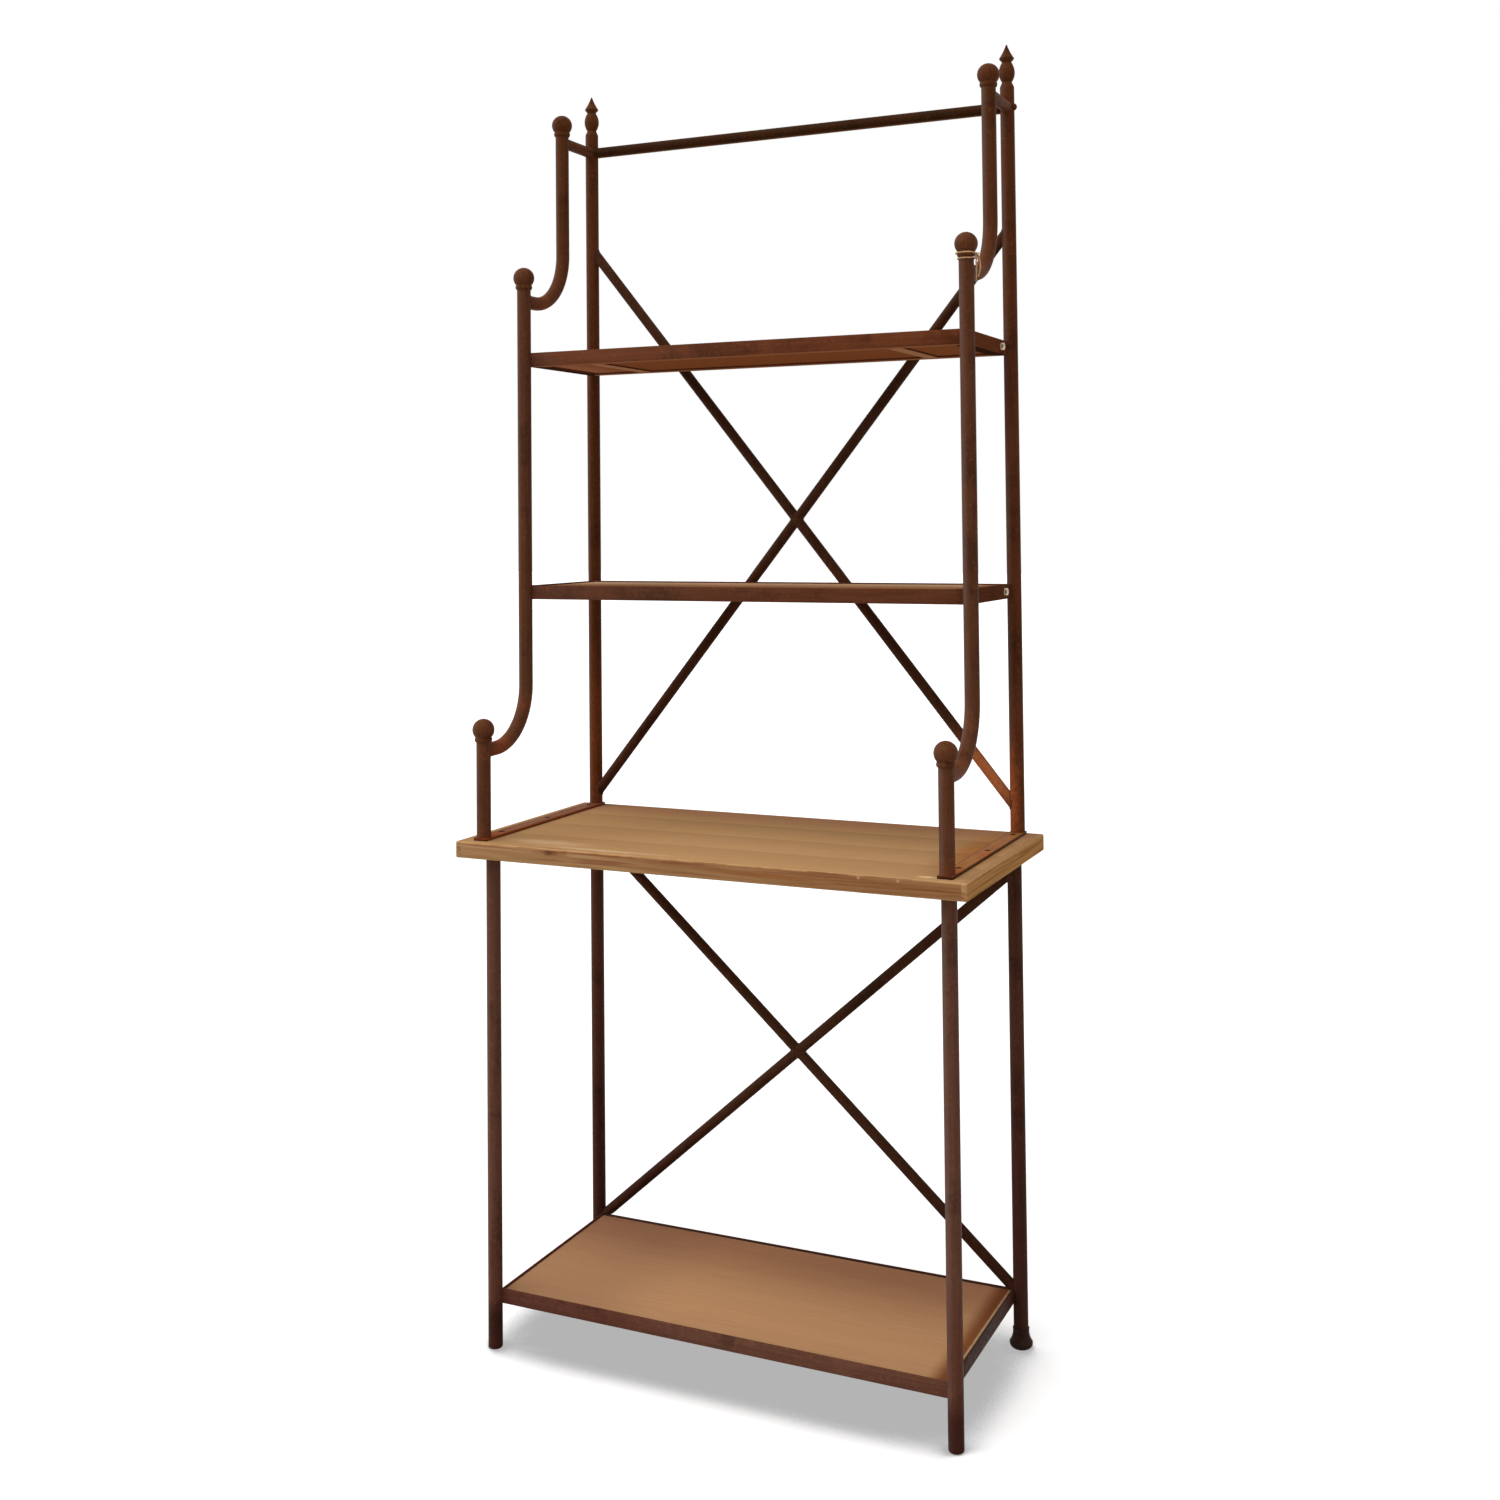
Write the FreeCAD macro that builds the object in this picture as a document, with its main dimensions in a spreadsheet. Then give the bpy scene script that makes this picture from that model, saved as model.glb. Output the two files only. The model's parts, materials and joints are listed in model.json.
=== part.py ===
import FreeCAD, Part
import math
import os
from types import SimpleNamespace

import Sketcher
from FreeCAD import Rotation, Vector

# Bakers rack: an iron base with a wooden counter and a bottom shelf, and an open iron hutch
# bolted down on the counter.  Millimetres, +X to the right, +Y to the rear, +Z up.  The origin
# is on the floor under the middle of the counter.

os.makedirs("parts", exist_ok=True)
doc = FreeCAD.newDocument("BakersRack")

# ---------------------------------------------------------------- driving sizes

SIZES = {
    # counter
    "top_width": 935.0,
    "top_depth": 453.0,
    "top_thickness": 29.0,
    "counter_height": 889.0,
    "end_band": 10.0,
    "plank_gap": 0.3,
    # round tube of legs and posts
    "tube_dia": 25.4,
    "tube_wall": 2.0,
    "plug_clearance": 0.2,
    # base legs, measured in from the counter's edges to the leg axes
    "leg_inset_side": 46.0,
    "leg_inset_front": 51.0,
    "leg_inset_rear": 30.0,
    # feet
    "glide_height": 6.0,
    "glide_edge": 3.5,
    "plug_length": 18.0,
    "bell_height": 34.0,
    "bell_dia": 40.0,
    "bell_seat": 12.0,
    "bell_base_dia": 28.0,
    "bell_lip": 1.6,
    "bell_waist": 10.5,
    # flat bars: the frame under the counter, and the two that lie on it
    "bar_width": 25.4,
    "bar_thickness": 5.0,
    # angle iron of the shelf frames, its thickness and its seat for a panel
    "angle_flange": 25.4,
    "angle_wall": 3.0,
    "panel_thickness": 20.0,
    "panel_gap": 1.0,
    # bottom shelf: rim height and how far in from the leg axes the rails stand
    "bottom_rim": 101.5,
    "bottom_inset_side": 10.0,
    "bottom_inset_front": 4.0,
    "bottom_inset_rear": 5.0,
    # hutch posts, measured in from the counter's edges to the post axes
    "post_inset_side": 41.0,
    "post_inset_front": 28.5,
    "post_inset_rear": 23.0,
    "tier_step": 142.5,
    # how far each post's top stands over the one before it, the first over its bar
    "front_post_length": 167.0,
    "middle_tier_rise": 819.0,
    "upper_tier_rise": 314.0,
    "rear_post_rise": 25.0,
    "hook_radius": 105.0,
    "lower_hook_drop": 15.5,
    "upper_hook_drop": 22.0,
    # hutch shelves: how far each rim stands over the counter and over the rim below
    "middle_shelf_rise": 442.5,
    "upper_shelf_rise": 430.5,
    "shelf_inset_side": 4.0,
    "shelf_inset_front": 4.0,
    "brace_gap": 0.5,
    "bearer_inset": 136.0,
    # crossed braces
    "brace_dia": 19.0,
    # their ends: under the bottom rim and the leg tops, over the counter, under the top rail
    "base_through_sink": 12.0,
    "base_through_drop": 13.0,
    "base_crossing_sink": 14.5,
    "base_crossing_drop": 25.5,
    "hutch_through_rise": 44.0,
    "hutch_through_drop": 193.5,
    "hutch_crossing_rise": 21.0,
    "hutch_crossing_drop": 218.5,
    # top rails
    "rail_dia": 20.5,
    "rail_wall": 2.0,
    "rail_drop": 11.5,
    "rail_plug": 30.0,
    # turned finials
    "ball_dia": 39.0,
    "ball_sink": 6.2,
    "collar_dia": 31.0,
    "collar_height": 8.0,
    "spigot_length": 15.0,
    "spear_neck_dia": 17.5,
    "spear_neck_height": 9.0,
    "spear_urn_dia": 28.6,
    "spear_urn_height": 26.0,
    "spear_waist_dia": 16.5,
    "spear_waist_height": 45.0,
    "spear_head_dia": 26.4,
    "spear_head_height": 53.5,
    "spear_rim": 3.6,
    "spear_tip_height": 77.0,
    "spear_tip_dia": 3.0,
    # bolts that hold the rear top rail
    "bolt_dia": 8.0,
    "bolt_head_dia": 13.0,
    "bolt_head_height": 5.0,
    "bolt_reach": 22.0,
    # hexagonal lag screws and washers that hold the shelf panels
    "lag_dia": 6.0,
    "lag_length": 36.0,
    "lag_head_flats": 11.0,
    "lag_head_height": 5.0,
    "washer_dia": 13.5,
    "washer_thickness": 1.5,
    "lag_from_front_post": 24.0,
    "lag_from_rear_post": 48.0,
    # wood screws
    "screw_dia": 4.5,
    "screw_head_dia": 9.0,
    "screw_head_height": 2.6,
    "screw_slot": 1.0,
    "screw_slot_depth": 1.1,
    "screw_bite": 17.0,
    "hole_clearance": 0.15,
    "pilot_spare": 1.0,
    "counter_screw_front": 58.0,
    "counter_screw_rear": 30.0,
    "frame_screw_inset": 120.0,
    "side_screw_inset": 110.0,
    # twine tied round one finial and the top of its post
    "twine_gap": 0.3,
    "twine_thickness": 2.6,
    "twine_drop": 5.0,
    "twine_height": 12.5,
    "twine_tail_dia": 2.6,
    "twine_tail_length": 44.0,
    "twine_tail_angle": 38.0,
}


class Size:
    """A number that carries the spreadsheet formula it comes from."""

    def __init__(self, value, formula):
        self.value = value
        self.formula = formula

    def __add__(self, other):
        other = size(other)
        return Size(self.value + other.value, f"({self.formula} + {other.formula})")

    def __sub__(self, other):
        other = size(other)
        return Size(self.value - other.value, f"({self.formula} - {other.formula})")

    def __mul__(self, other):
        other = size(other)
        return Size(self.value * other.value, f"({self.formula} * {other.formula})")

    def __truediv__(self, other):
        other = size(other)
        return Size(self.value / other.value, f"({self.formula} / {other.formula})")

    def __neg__(self):
        return Size(-self.value, f"(-1 * {self.formula})")

    __radd__ = __add__
    __rmul__ = __mul__

    def __rsub__(self, other):
        return size(other) - self


def size(value):
    """A Size as it is, and a plain number as a Size."""
    if isinstance(value, Size):
        return value
    return Size(float(value), f"({float(value)!r})")


def hypotenuse(a, b):
    """Length of the slanted side over two square ones."""
    return Size(math.hypot(a.value, b.value), f"sqrt({a.formula}^2 + {b.formula}^2)")


def other_leg(slant, a):
    """The square side that remains beside a in a right triangle."""
    return Size(math.sqrt(slant.value**2 - a.value**2), f"sqrt({slant.formula}^2 - {a.formula}^2)")


def lean(across, up):
    """Angle from the vertical, in degrees, of a rod that goes across and up."""
    degrees = math.degrees(math.atan2(across.value, up.value))
    return Size(degrees, f"atan2({across.formula}; {up.formula})")


def turned(radius, angle, function):
    """radius times the sine or cosine of an angle in degrees."""
    value = radius.value * getattr(math, function)(math.radians(angle.value))
    return Size(value, f"({radius.formula} * {function}({angle.formula} * 1 deg))")


def write_sheet(values):
    """Put the sizes in a spreadsheet and return them as named Sizes."""
    sheet = doc.addObject("Spreadsheet::Sheet", "Sizes")
    for row, (name, value) in enumerate(values.items(), start=1):
        sheet.set(f"A{row}", name)
        sheet.set(f"B{row}", repr(value))
        sheet.setAlias(f"B{row}", name)
    doc.recompute()
    return SimpleNamespace(**{name: Size(value, f"Sizes.{name}") for name, value in values.items()})


S = write_sheet(SIZES)
ZERO = size(0)

# ---------------------------------------------------------------- places worked out from the sizes

TUBE_R = S.tube_dia / 2
BORE_R = TUBE_R - S.tube_wall
PLUG_R = BORE_R - S.plug_clearance
TOP_UNDER = S.counter_height - S.top_thickness
LEG_TOP = TOP_UNDER - S.bar_thickness
LEG_X = S.top_width / 2 - S.leg_inset_side
LEG_FRONT = S.leg_inset_front - S.top_depth / 2
LEG_REAR = S.top_depth / 2 - S.leg_inset_rear
POST_X = S.top_width / 2 - S.post_inset_side
FRONT_POST_Y = S.post_inset_front - S.top_depth / 2
MIDDLE_POST_Y = FRONT_POST_Y + S.tier_step
UPPER_POST_Y = MIDDLE_POST_Y + S.tier_step
REAR_POST_Y = S.top_depth / 2 - S.post_inset_rear
POST_FOOT = S.counter_height + S.bar_thickness
FRONT_POST_TOP = POST_FOOT + S.front_post_length
MIDDLE_POST_TOP = FRONT_POST_TOP + S.middle_tier_rise
UPPER_POST_TOP = MIDDLE_POST_TOP + S.upper_tier_rise
REAR_POST_TOP = UPPER_POST_TOP + S.rear_post_rise
RAIL_Z = UPPER_POST_TOP - S.rail_drop
MIDDLE_RIM = S.counter_height + S.middle_shelf_rise
UPPER_RIM = MIDDLE_RIM + S.upper_shelf_rise
BRACE_R = S.brace_dia / 2
SHELF_INSET_REAR = BRACE_R + S.brace_gap
LAG_DROP = S.angle_flange - S.angle_wall - S.panel_thickness / 2
SIDES = {"left": -1, "right": 1}

# How round the turned curves are: the radius of the arc over the length of its chord.
BELLY_BEND = 0.75
FLARE_BEND = 1.3
COLLAR_BEND = 0.9
URN_BEND = 1.75
RIM_BEND = 0.7
SPEAR_BEND = 4.0

nodes = {}

# ---------------------------------------------------------------- drawing helpers


def bind(thing, **sizes):
    """Set properties of an object and tie them to the spreadsheet."""
    for name, amount in sizes.items():
        setattr(thing, name, amount.value)
        thing.setExpression(name, amount.formula)
    return thing


def place(thing, x=ZERO, y=ZERO, z=ZERO, axis=Vector(0, 0, 1), angle=None):
    """Put an object at a point, turned about an axis, tied to the spreadsheet."""
    x, y, z = size(x), size(y), size(z)
    turn = Rotation(axis, angle.value if isinstance(angle, Size) else (angle or 0))
    thing.Placement = FreeCAD.Placement(Vector(x.value, y.value, z.value), turn)
    for name, amount in (("x", x), ("y", y), ("z", z)):
        thing.setExpression(f"Placement.Base.{name}", amount.formula)
    if isinstance(angle, Size):
        thing.setExpression("Placement.Rotation.Angle", angle.formula)
    return thing


def keep(label, thing):
    """Name an object as one of the rack's nodes."""
    thing.Label = label
    nodes[label] = thing
    return thing


def cylinder(name, radius, height, **where):
    rod = bind(doc.addObject("Part::Cylinder", name), Radius=radius, Height=height)
    return place(rod, **where)


def box(name, length, width, height, **where):
    block = bind(doc.addObject("Part::Box", name), Length=length, Width=width, Height=height)
    return place(block, **where)


def cone(name, low_radius, high_radius, height, **where):
    taper = doc.addObject("Part::Cone", name)
    bind(taper, Radius1=low_radius, Radius2=high_radius, Height=height)
    return place(taper, **where)


def fuse(name, things):
    joined = doc.addObject("Part::MultiFuse", name)
    joined.Shapes = things
    return joined


def group(name, things):
    gathered = doc.addObject("Part::Compound", name)
    gathered.Links = things
    return gathered


def cut(name, base, tools):
    """Base with one tool or several taken out of it."""
    result = doc.addObject("Part::Cut", name)
    result.Base = base
    result.Tool = tools[0] if len(tools) == 1 else fuse(f"{name}_tools", tools)
    return result


def new_sketch(body, role, name, lift=None):
    """A sketch on one of a body's origin planes, lifted off it if asked."""
    sketch = body.newObject("Sketcher::SketchObject", name)
    planes = [feature for feature in body.Origin.OriginFeatures if feature.Role == role]
    sketch.AttachmentSupport = [(planes[0], "")]
    sketch.MapMode = "FlatFace"
    if lift is not None:
        sketch.AttachmentOffset = FreeCAD.Placement(Vector(0, 0, lift.value), Rotation())
        sketch.setExpression("AttachmentOffset.Base.z", lift.formula)
    return sketch


def fix_point(sketch, curve, end, x, y):
    """Tie a point of a sketch to its two distances from the origin."""
    for kind, amount in (("DistanceX", x), ("DistanceY", y)):
        index = sketch.addConstraint(Sketcher.Constraint(kind, -1, 1, curve, end, amount.value))
        sketch.setExpression(f"Constraints[{index}]", amount.formula)


def draw_circle(sketch, x, y, radius):
    centre = Vector(x.value, y.value, 0)
    curve = sketch.addGeometry(Part.Circle(centre, Vector(0, 0, 1), radius.value), False)
    fix_point(sketch, curve, 3, x, y)
    index = sketch.addConstraint(Sketcher.Constraint("Radius", curve, radius.value))
    sketch.setExpression(f"Constraints[{index}]", radius.formula)


def arc_between(start, finish, radius, side):
    """An arc drawn anticlockwise, and whether that is from start to finish.

    side is 1 where the arc's centre lies left of the way from start to finish, -1 where right.
    """
    chord = finish - start
    across = Vector(-chord.y, chord.x, 0).normalize() * side
    centre = (start + finish) / 2 + across * math.sqrt(radius**2 - chord.Length**2 / 4)
    ends = [start, finish] if side > 0 else [finish, start]
    first, last = (math.atan2(end.y - centre.y, end.x - centre.x) for end in ends)
    circle = Part.Circle(centre, Vector(0, 0, 1), radius)
    return Part.ArcOfCircle(circle, first, last), side > 0


def draw_outline(sketch, points, arcs=None):
    """A closed outline through points; arcs gives (radius, side) for edges that are round."""
    arcs = arcs or {}
    corners = [Vector(x.value, y.value, 0) for x, y in points]
    ends = []
    for index, corner in enumerate(corners):
        following = corners[(index + 1) % len(corners)]
        if index in arcs:
            radius, side = arcs[index]
            curve, forward = arc_between(corner, following, radius.value, side)
        else:
            curve, forward = Part.LineSegment(corner, following), True
        number = sketch.addGeometry(curve, False)
        ends.append((number, 1, 2) if forward else (number, 2, 1))
    for index, (number, start, finish) in enumerate(ends):
        following, its_start, _ = ends[(index + 1) % len(ends)]
        sketch.addConstraint(Sketcher.Constraint("Coincident", number, finish, following, its_start))
        fix_point(sketch, number, start, *points[index])
        if index in arcs:
            radius = arcs[index][0]
            constraint = sketch.addConstraint(Sketcher.Constraint("Radius", number, radius.value))
            sketch.setExpression(f"Constraints[{constraint}]", radius.formula)


def pad(body, sketch, length):
    feature = body.newObject("PartDesign::Pad", "Pad")
    feature.Profile = sketch
    return bind(feature, Length=length)


def pocket(body, sketch, depth=None):
    """Cut a sketch out of a body, to a depth or all the way down."""
    feature = body.newObject("PartDesign::Pocket", "Pocket")
    feature.Profile = sketch
    if depth is None:
        feature.Type = "ThroughAll"
        return feature
    return bind(feature, Length=depth)


def turned_piece(name, points, arcs=None):
    """A body turned about its own Z axis from half an outline."""
    body = doc.addObject("PartDesign::Body", name)
    sketch = new_sketch(body, "XZ_Plane", f"{name}_half_outline")
    draw_outline(sketch, points, arcs)
    feature = body.newObject("PartDesign::Revolution", "Revolution")
    feature.Profile = sketch
    feature.ReferenceAxis = (sketch, ["V_Axis"])
    feature.Angle = 360
    return body


def straight_tube(name, length, **where):
    """A length of the round tube, padded from two circles."""
    body = doc.addObject("PartDesign::Body", name)
    sketch = new_sketch(body, "XY_Plane", f"{name}_section")
    draw_circle(sketch, ZERO, ZERO, TUBE_R)
    draw_circle(sketch, ZERO, ZERO, BORE_R)
    pad(body, sketch, length)
    return place(body, **where)


# ---------------------------------------------------------------- base


def make_legs():
    for side, sign in SIDES.items():
        x = LEG_X * sign
        front_foot, rear_foot = S.glide_height, S.bell_seat
        keep(f"leg_front_{side}", straight_tube(f"leg_front_{side}", LEG_TOP - front_foot,
                                                x=x, y=LEG_FRONT, z=front_foot))
        keep(f"leg_rear_{side}", straight_tube(f"leg_rear_{side}", LEG_TOP - rear_foot,
                                               x=x, y=LEG_REAR, z=rear_foot))


def make_front_feet():
    """Round-edged glides, plugged into the ends of the front legs."""
    flat_r = TUBE_R - S.glide_edge
    top = S.glide_height + S.plug_length
    points = [(ZERO, ZERO), (flat_r, ZERO), (TUBE_R, S.glide_edge), (TUBE_R, S.glide_height),
              (PLUG_R, S.glide_height), (PLUG_R, top), (ZERO, top)]
    feet = []
    for side, sign in SIDES.items():
        foot = turned_piece(f"front_foot_{side}", points, {1: (S.glide_edge, 1)})
        feet.append(place(foot, x=LEG_X * sign, y=LEG_FRONT))
    keep("front_feet", group("front_feet", feet))


def make_rear_feet():
    """Cast bell feet, each with a socket that the rear leg stands in."""
    socket_r = TUBE_R + S.plug_clearance
    lip_r = socket_r + S.bell_lip
    bell_r = S.bell_dia / 2
    points = [(ZERO, ZERO), (S.bell_base_dia / 2, ZERO), (bell_r, S.bell_waist),
              (lip_r, S.bell_height), (socket_r, S.bell_height), (socket_r, S.bell_seat),
              (ZERO, S.bell_seat)]
    belly = hypotenuse(bell_r - S.bell_base_dia / 2, S.bell_waist) * BELLY_BEND
    flare = hypotenuse(bell_r - lip_r, S.bell_height - S.bell_waist) * FLARE_BEND
    feet = []
    for side, sign in SIDES.items():
        foot = turned_piece(f"rear_foot_{side}", points, {1: (belly, 1), 2: (flare, -1)})
        feet.append(place(foot, x=LEG_X * sign, y=LEG_REAR))
    keep("rear_feet", group("rear_feet", feet))


def make_counter_frame():
    """Flat bars welded over the leg tops, under the counter, and their holes and screws."""
    reach = LEG_X + TUBE_R
    half = S.bar_width / 2
    across = [("front", LEG_FRONT), ("rear", LEG_REAR)]
    outer = LEG_X - S.frame_screw_inset
    spots = [(x, y) for _, y in across for x in (-outer, ZERO, outer)]
    side_spots = [(LEG_X * sign, LEG_FRONT + S.side_screw_inset) for sign in (-1, 1)]
    screws = []
    holes = []
    for number, (x, y) in enumerate(spots + side_spots, start=1):
        low = LEG_TOP - S.screw_head_height
        head = cylinder(f"frame_screw_head_{number}", S.screw_head_dia / 2, S.screw_head_height,
                        x=x, y=y, z=low)
        shank = cylinder(f"frame_screw_shank_{number}", S.screw_dia / 2,
                         S.bar_thickness + S.screw_bite, x=x, y=y, z=LEG_TOP)
        screws.append(fuse(f"frame_screw_{number}", [head, shank]))
        holes.append(cylinder(f"frame_hole_{number}", S.screw_dia / 2 + S.hole_clearance,
                              S.bar_thickness + S.screw_bite + S.pilot_spare,
                              x=x, y=y, z=LEG_TOP))
    for name, y in across:
        bar = box(f"frame_bar_{name}_blank", reach * 2, S.bar_width, S.bar_thickness,
                  x=-reach, y=y - half, z=LEG_TOP)
        keep(f"counter_frame_{name}", cut(f"counter_frame_{name}", bar, holes))
    depth = LEG_REAR - LEG_FRONT - S.bar_width
    for side, sign in SIDES.items():
        bar = box(f"frame_bar_{side}_blank", S.bar_width, depth, S.bar_thickness,
                  x=LEG_X * sign - half, y=LEG_FRONT + half, z=LEG_TOP)
        keep(f"counter_frame_{side}", cut(f"counter_frame_{side}", bar, holes))
    keep("counter_frame_screws", group("counter_frame_screws", screws))
    return holes


def make_counter(pilots):
    """Planks laid side by side between two end bands, with pilot holes for every screw."""
    length = S.top_width - S.end_band * 2
    names = ["front", "mid_front", "mid_rear", "rear"]
    width = (S.top_depth - S.plank_gap * (len(names) - 1)) / len(names)
    for number, name in enumerate(names):
        start = (width + S.plank_gap) * number - S.top_depth / 2
        plank = box(f"plank_{name}_blank", length, width, S.top_thickness,
                    x=-length / 2, y=start, z=TOP_UNDER)
        keep(f"counter_plank_{name}", cut(f"counter_plank_{name}", plank, pilots))
    for side, sign in SIDES.items():
        inner = length / 2 if sign > 0 else -length / 2 - S.end_band
        keep(f"counter_end_band_{side}",
             box(f"counter_end_band_{side}", S.end_band, S.top_depth, S.top_thickness,
                 x=inner, y=-S.top_depth / 2, z=TOP_UNDER))


# ---------------------------------------------------------------- shelf frames


def rail(label, length, gaps, offset, holes=(), **where):
    """One mitred angle-iron rail, drawn along its own X with its outer face on Y = 0.

    gaps are the distances from its two outer corners to the post axes beyond them, and offset
    is how far those axes lie outside the outer face.  holes are places along the rail.
    """
    body = doc.addObject("PartDesign::Body", label)
    half, flange, wall = length / 2, S.angle_flange, S.angle_wall
    plan = new_sketch(body, "XY_Plane", f"{label}_plan")
    draw_outline(plan, [(-half, ZERO), (half, ZERO), (half - flange, flange), (flange - half, flange)])
    pad(body, plan, flange)
    hollow = new_sketch(body, "XY_Plane", f"{label}_hollow", lift=flange)
    draw_outline(hollow, [(wall - half, wall), (half - wall, wall),
                          (half - flange, flange), (flange - half, flange)])
    pocket(body, hollow, flange - wall)
    notches = new_sketch(body, "XY_Plane", f"{label}_notches", lift=flange)
    draw_circle(notches, -half - gaps[0], -offset, TUBE_R)
    draw_circle(notches, half + gaps[1], -offset, TUBE_R)
    pocket(body, notches)
    if holes:
        bores = new_sketch(body, "XZ_Plane", f"{label}_bores")
        for along in holes:
            draw_circle(bores, along, flange - LAG_DROP, S.lag_dia / 2 + S.hole_clearance)
        pocket(body, bores, wall * 2)
    keep(label, place(body, **where))


def shelf_frame(name, rim, post_x, front_y, rear_y, insets, bolted):
    """Four rails between four posts, round a wooden panel that lies on their flanges."""
    side_in, front_in, rear_in = insets
    width = (post_x - side_in) * 2
    front, rear = front_y + front_in, rear_y - rear_in
    depth = rear - front
    low = rim - S.angle_flange
    near = S.lag_from_front_post - depth / 2 - front_in
    far = depth / 2 + rear_in - S.lag_from_rear_post
    rail(f"{name}_rail_front", width, (side_in, side_in), front_in, y=front, z=low)
    rail(f"{name}_rail_rear", width, (side_in, side_in), rear_in, y=rear, z=low, angle=180)
    rail(f"{name}_rail_left", depth, (rear_in, front_in), side_in,
         [-near, -far] if bolted else (),
         x=-width / 2, y=(front + rear) / 2, z=low, angle=-90)
    rail(f"{name}_rail_right", depth, (front_in, rear_in), side_in,
         [near, far] if bolted else (),
         x=width / 2, y=(front + rear) / 2, z=low, angle=90)

    edge = S.angle_wall + S.panel_gap
    blank = box(f"{name}_panel_blank", width - edge * 2, depth - edge * 2, S.panel_thickness,
                x=edge - width / 2, y=front + edge, z=low + S.angle_wall)
    notches = [cylinder(f"{name}_panel_notch_{side}_{place_name}", TUBE_R + S.panel_gap,
                        S.angle_flange, x=post_x * sign, y=y, z=low)
               for side, sign in SIDES.items()
               for place_name, y in (("front", front_y), ("rear", rear_y))]
    screws = []
    washers = []
    pilots = []
    if bolted:
        middle = (front + rear) / 2
        for side, sign in SIDES.items():
            for spot, along in (("front", middle + near), ("rear", middle + far)):
                tag = f"{name}_{side}_{spot}"
                made = lag_screw(tag, sign, width / 2, along, rim - LAG_DROP)
                screws.append(made[0])
                washers.append(made[1])
                pilots.append(made[2])
    keep(f"{name}_panel", cut(f"{name}_panel", blank, notches + pilots))
    return screws, washers


def lag_screw(tag, sign, face_x, y, z):
    """A hexagonal lag screw with its washer, driven sideways through a rail into a panel."""
    outward = Vector(0, 1, 0)
    turn = 90 * sign
    head = doc.addObject("Part::Prism", f"lag_head_{tag}")
    head.Polygon = 6
    bind(head, Circumradius=S.lag_head_flats / math.sqrt(3), Height=S.lag_head_height)
    place(head, x=(face_x + S.washer_thickness) * sign, y=y, z=z, axis=outward, angle=turn)
    shank = cylinder(f"lag_shank_{tag}", S.lag_dia / 2, S.lag_length + S.washer_thickness,
                     x=(face_x - S.lag_length) * sign, y=y, z=z, axis=outward, angle=turn)
    ring = cylinder(f"washer_disc_{tag}", S.washer_dia / 2, S.washer_thickness,
                    x=face_x * sign, y=y, z=z, axis=outward, angle=turn)
    eye = cylinder(f"washer_eye_{tag}", S.lag_dia / 2 + S.hole_clearance, S.washer_thickness,
                   x=face_x * sign, y=y, z=z, axis=outward, angle=turn)
    pilot = cylinder(f"lag_pilot_{tag}", S.lag_dia / 2 + S.hole_clearance,
                     S.lag_length + S.pilot_spare,
                     x=(face_x - S.lag_length - S.pilot_spare) * sign, y=y, z=z,
                     axis=outward, angle=turn)
    return fuse(f"lag_{tag}", [head, shank]), cut(f"washer_{tag}", ring, [eye]), pilot


def make_bearers():
    """Two flat bars under the upper panel, between the front and rear flanges."""
    front = MIDDLE_POST_Y + S.shelf_inset_front + S.angle_flange
    rear = REAR_POST_Y - SHELF_INSET_REAR - S.angle_flange
    bars = [box(f"bearer_{side}", S.bar_width, rear - front, S.angle_wall,
                x=(POST_X - S.bearer_inset) * sign - S.bar_width / 2, y=front,
                z=UPPER_RIM - S.angle_flange)
            for side, sign in SIDES.items()]
    keep("upper_shelf_bearers", group("upper_shelf_bearers", bars))


def make_shelves():
    shelf_frame("bottom_shelf", S.bottom_rim, LEG_X, LEG_FRONT, LEG_REAR,
                (S.bottom_inset_side, S.bottom_inset_front, S.bottom_inset_rear), False)
    insets = (S.shelf_inset_side, S.shelf_inset_front, SHELF_INSET_REAR)
    screws = []
    washers = []
    for name, rim in (("middle_shelf", MIDDLE_RIM), ("upper_shelf", UPPER_RIM)):
        made = shelf_frame(name, rim, POST_X, MIDDLE_POST_Y, REAR_POST_Y, insets, True)
        screws += made[0]
        washers += made[1]
    make_bearers()
    keep("shelf_lag_screws", group("shelf_lag_screws", screws))
    keep("shelf_washers", group("shelf_washers", washers))


# ---------------------------------------------------------------- braces


def slanted_rod(name, post_x, sign, y, low, high):
    """A rod that starts low on one post's axis and ends high on the other's."""
    across, up = post_x * 2, high - low
    return cylinder(name, BRACE_R, hypotenuse(across, up), x=post_x * sign, y=y, z=low,
                    axis=Vector(0, 1, 0), angle=lean(across, up) * -sign)


def brace_pair(name, post_x, y, through_ends, crossing_ends, floor):
    """Two rods crossed between two posts; one runs through, the other is welded on in halves."""
    through = slanted_rod(f"{name}_through_rod", post_x, 1, y, *through_ends)
    crossing = slanted_rod(f"{name}_crossing_rod", post_x, -1, y, *crossing_ends)
    low, high = crossing_ends[0] - S.tube_dia, through_ends[1] + S.tube_dia
    ends = [cylinder(f"{name}_end_{side}", TUBE_R, high - low, x=post_x * sign, y=y, z=low)
            for side, sign in SIDES.items()]
    if floor is not None:
        ends.append(box(f"{name}_rest", post_x * 2, S.tube_dia, S.tube_dia * 2,
                        x=-post_x, y=y - TUBE_R, z=floor - S.tube_dia * 2))
    keep(f"{name}_through", cut(f"{name}_through", through, ends))
    keep(f"{name}_halves", cut(f"{name}_halves", crossing, ends + [through]))


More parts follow.
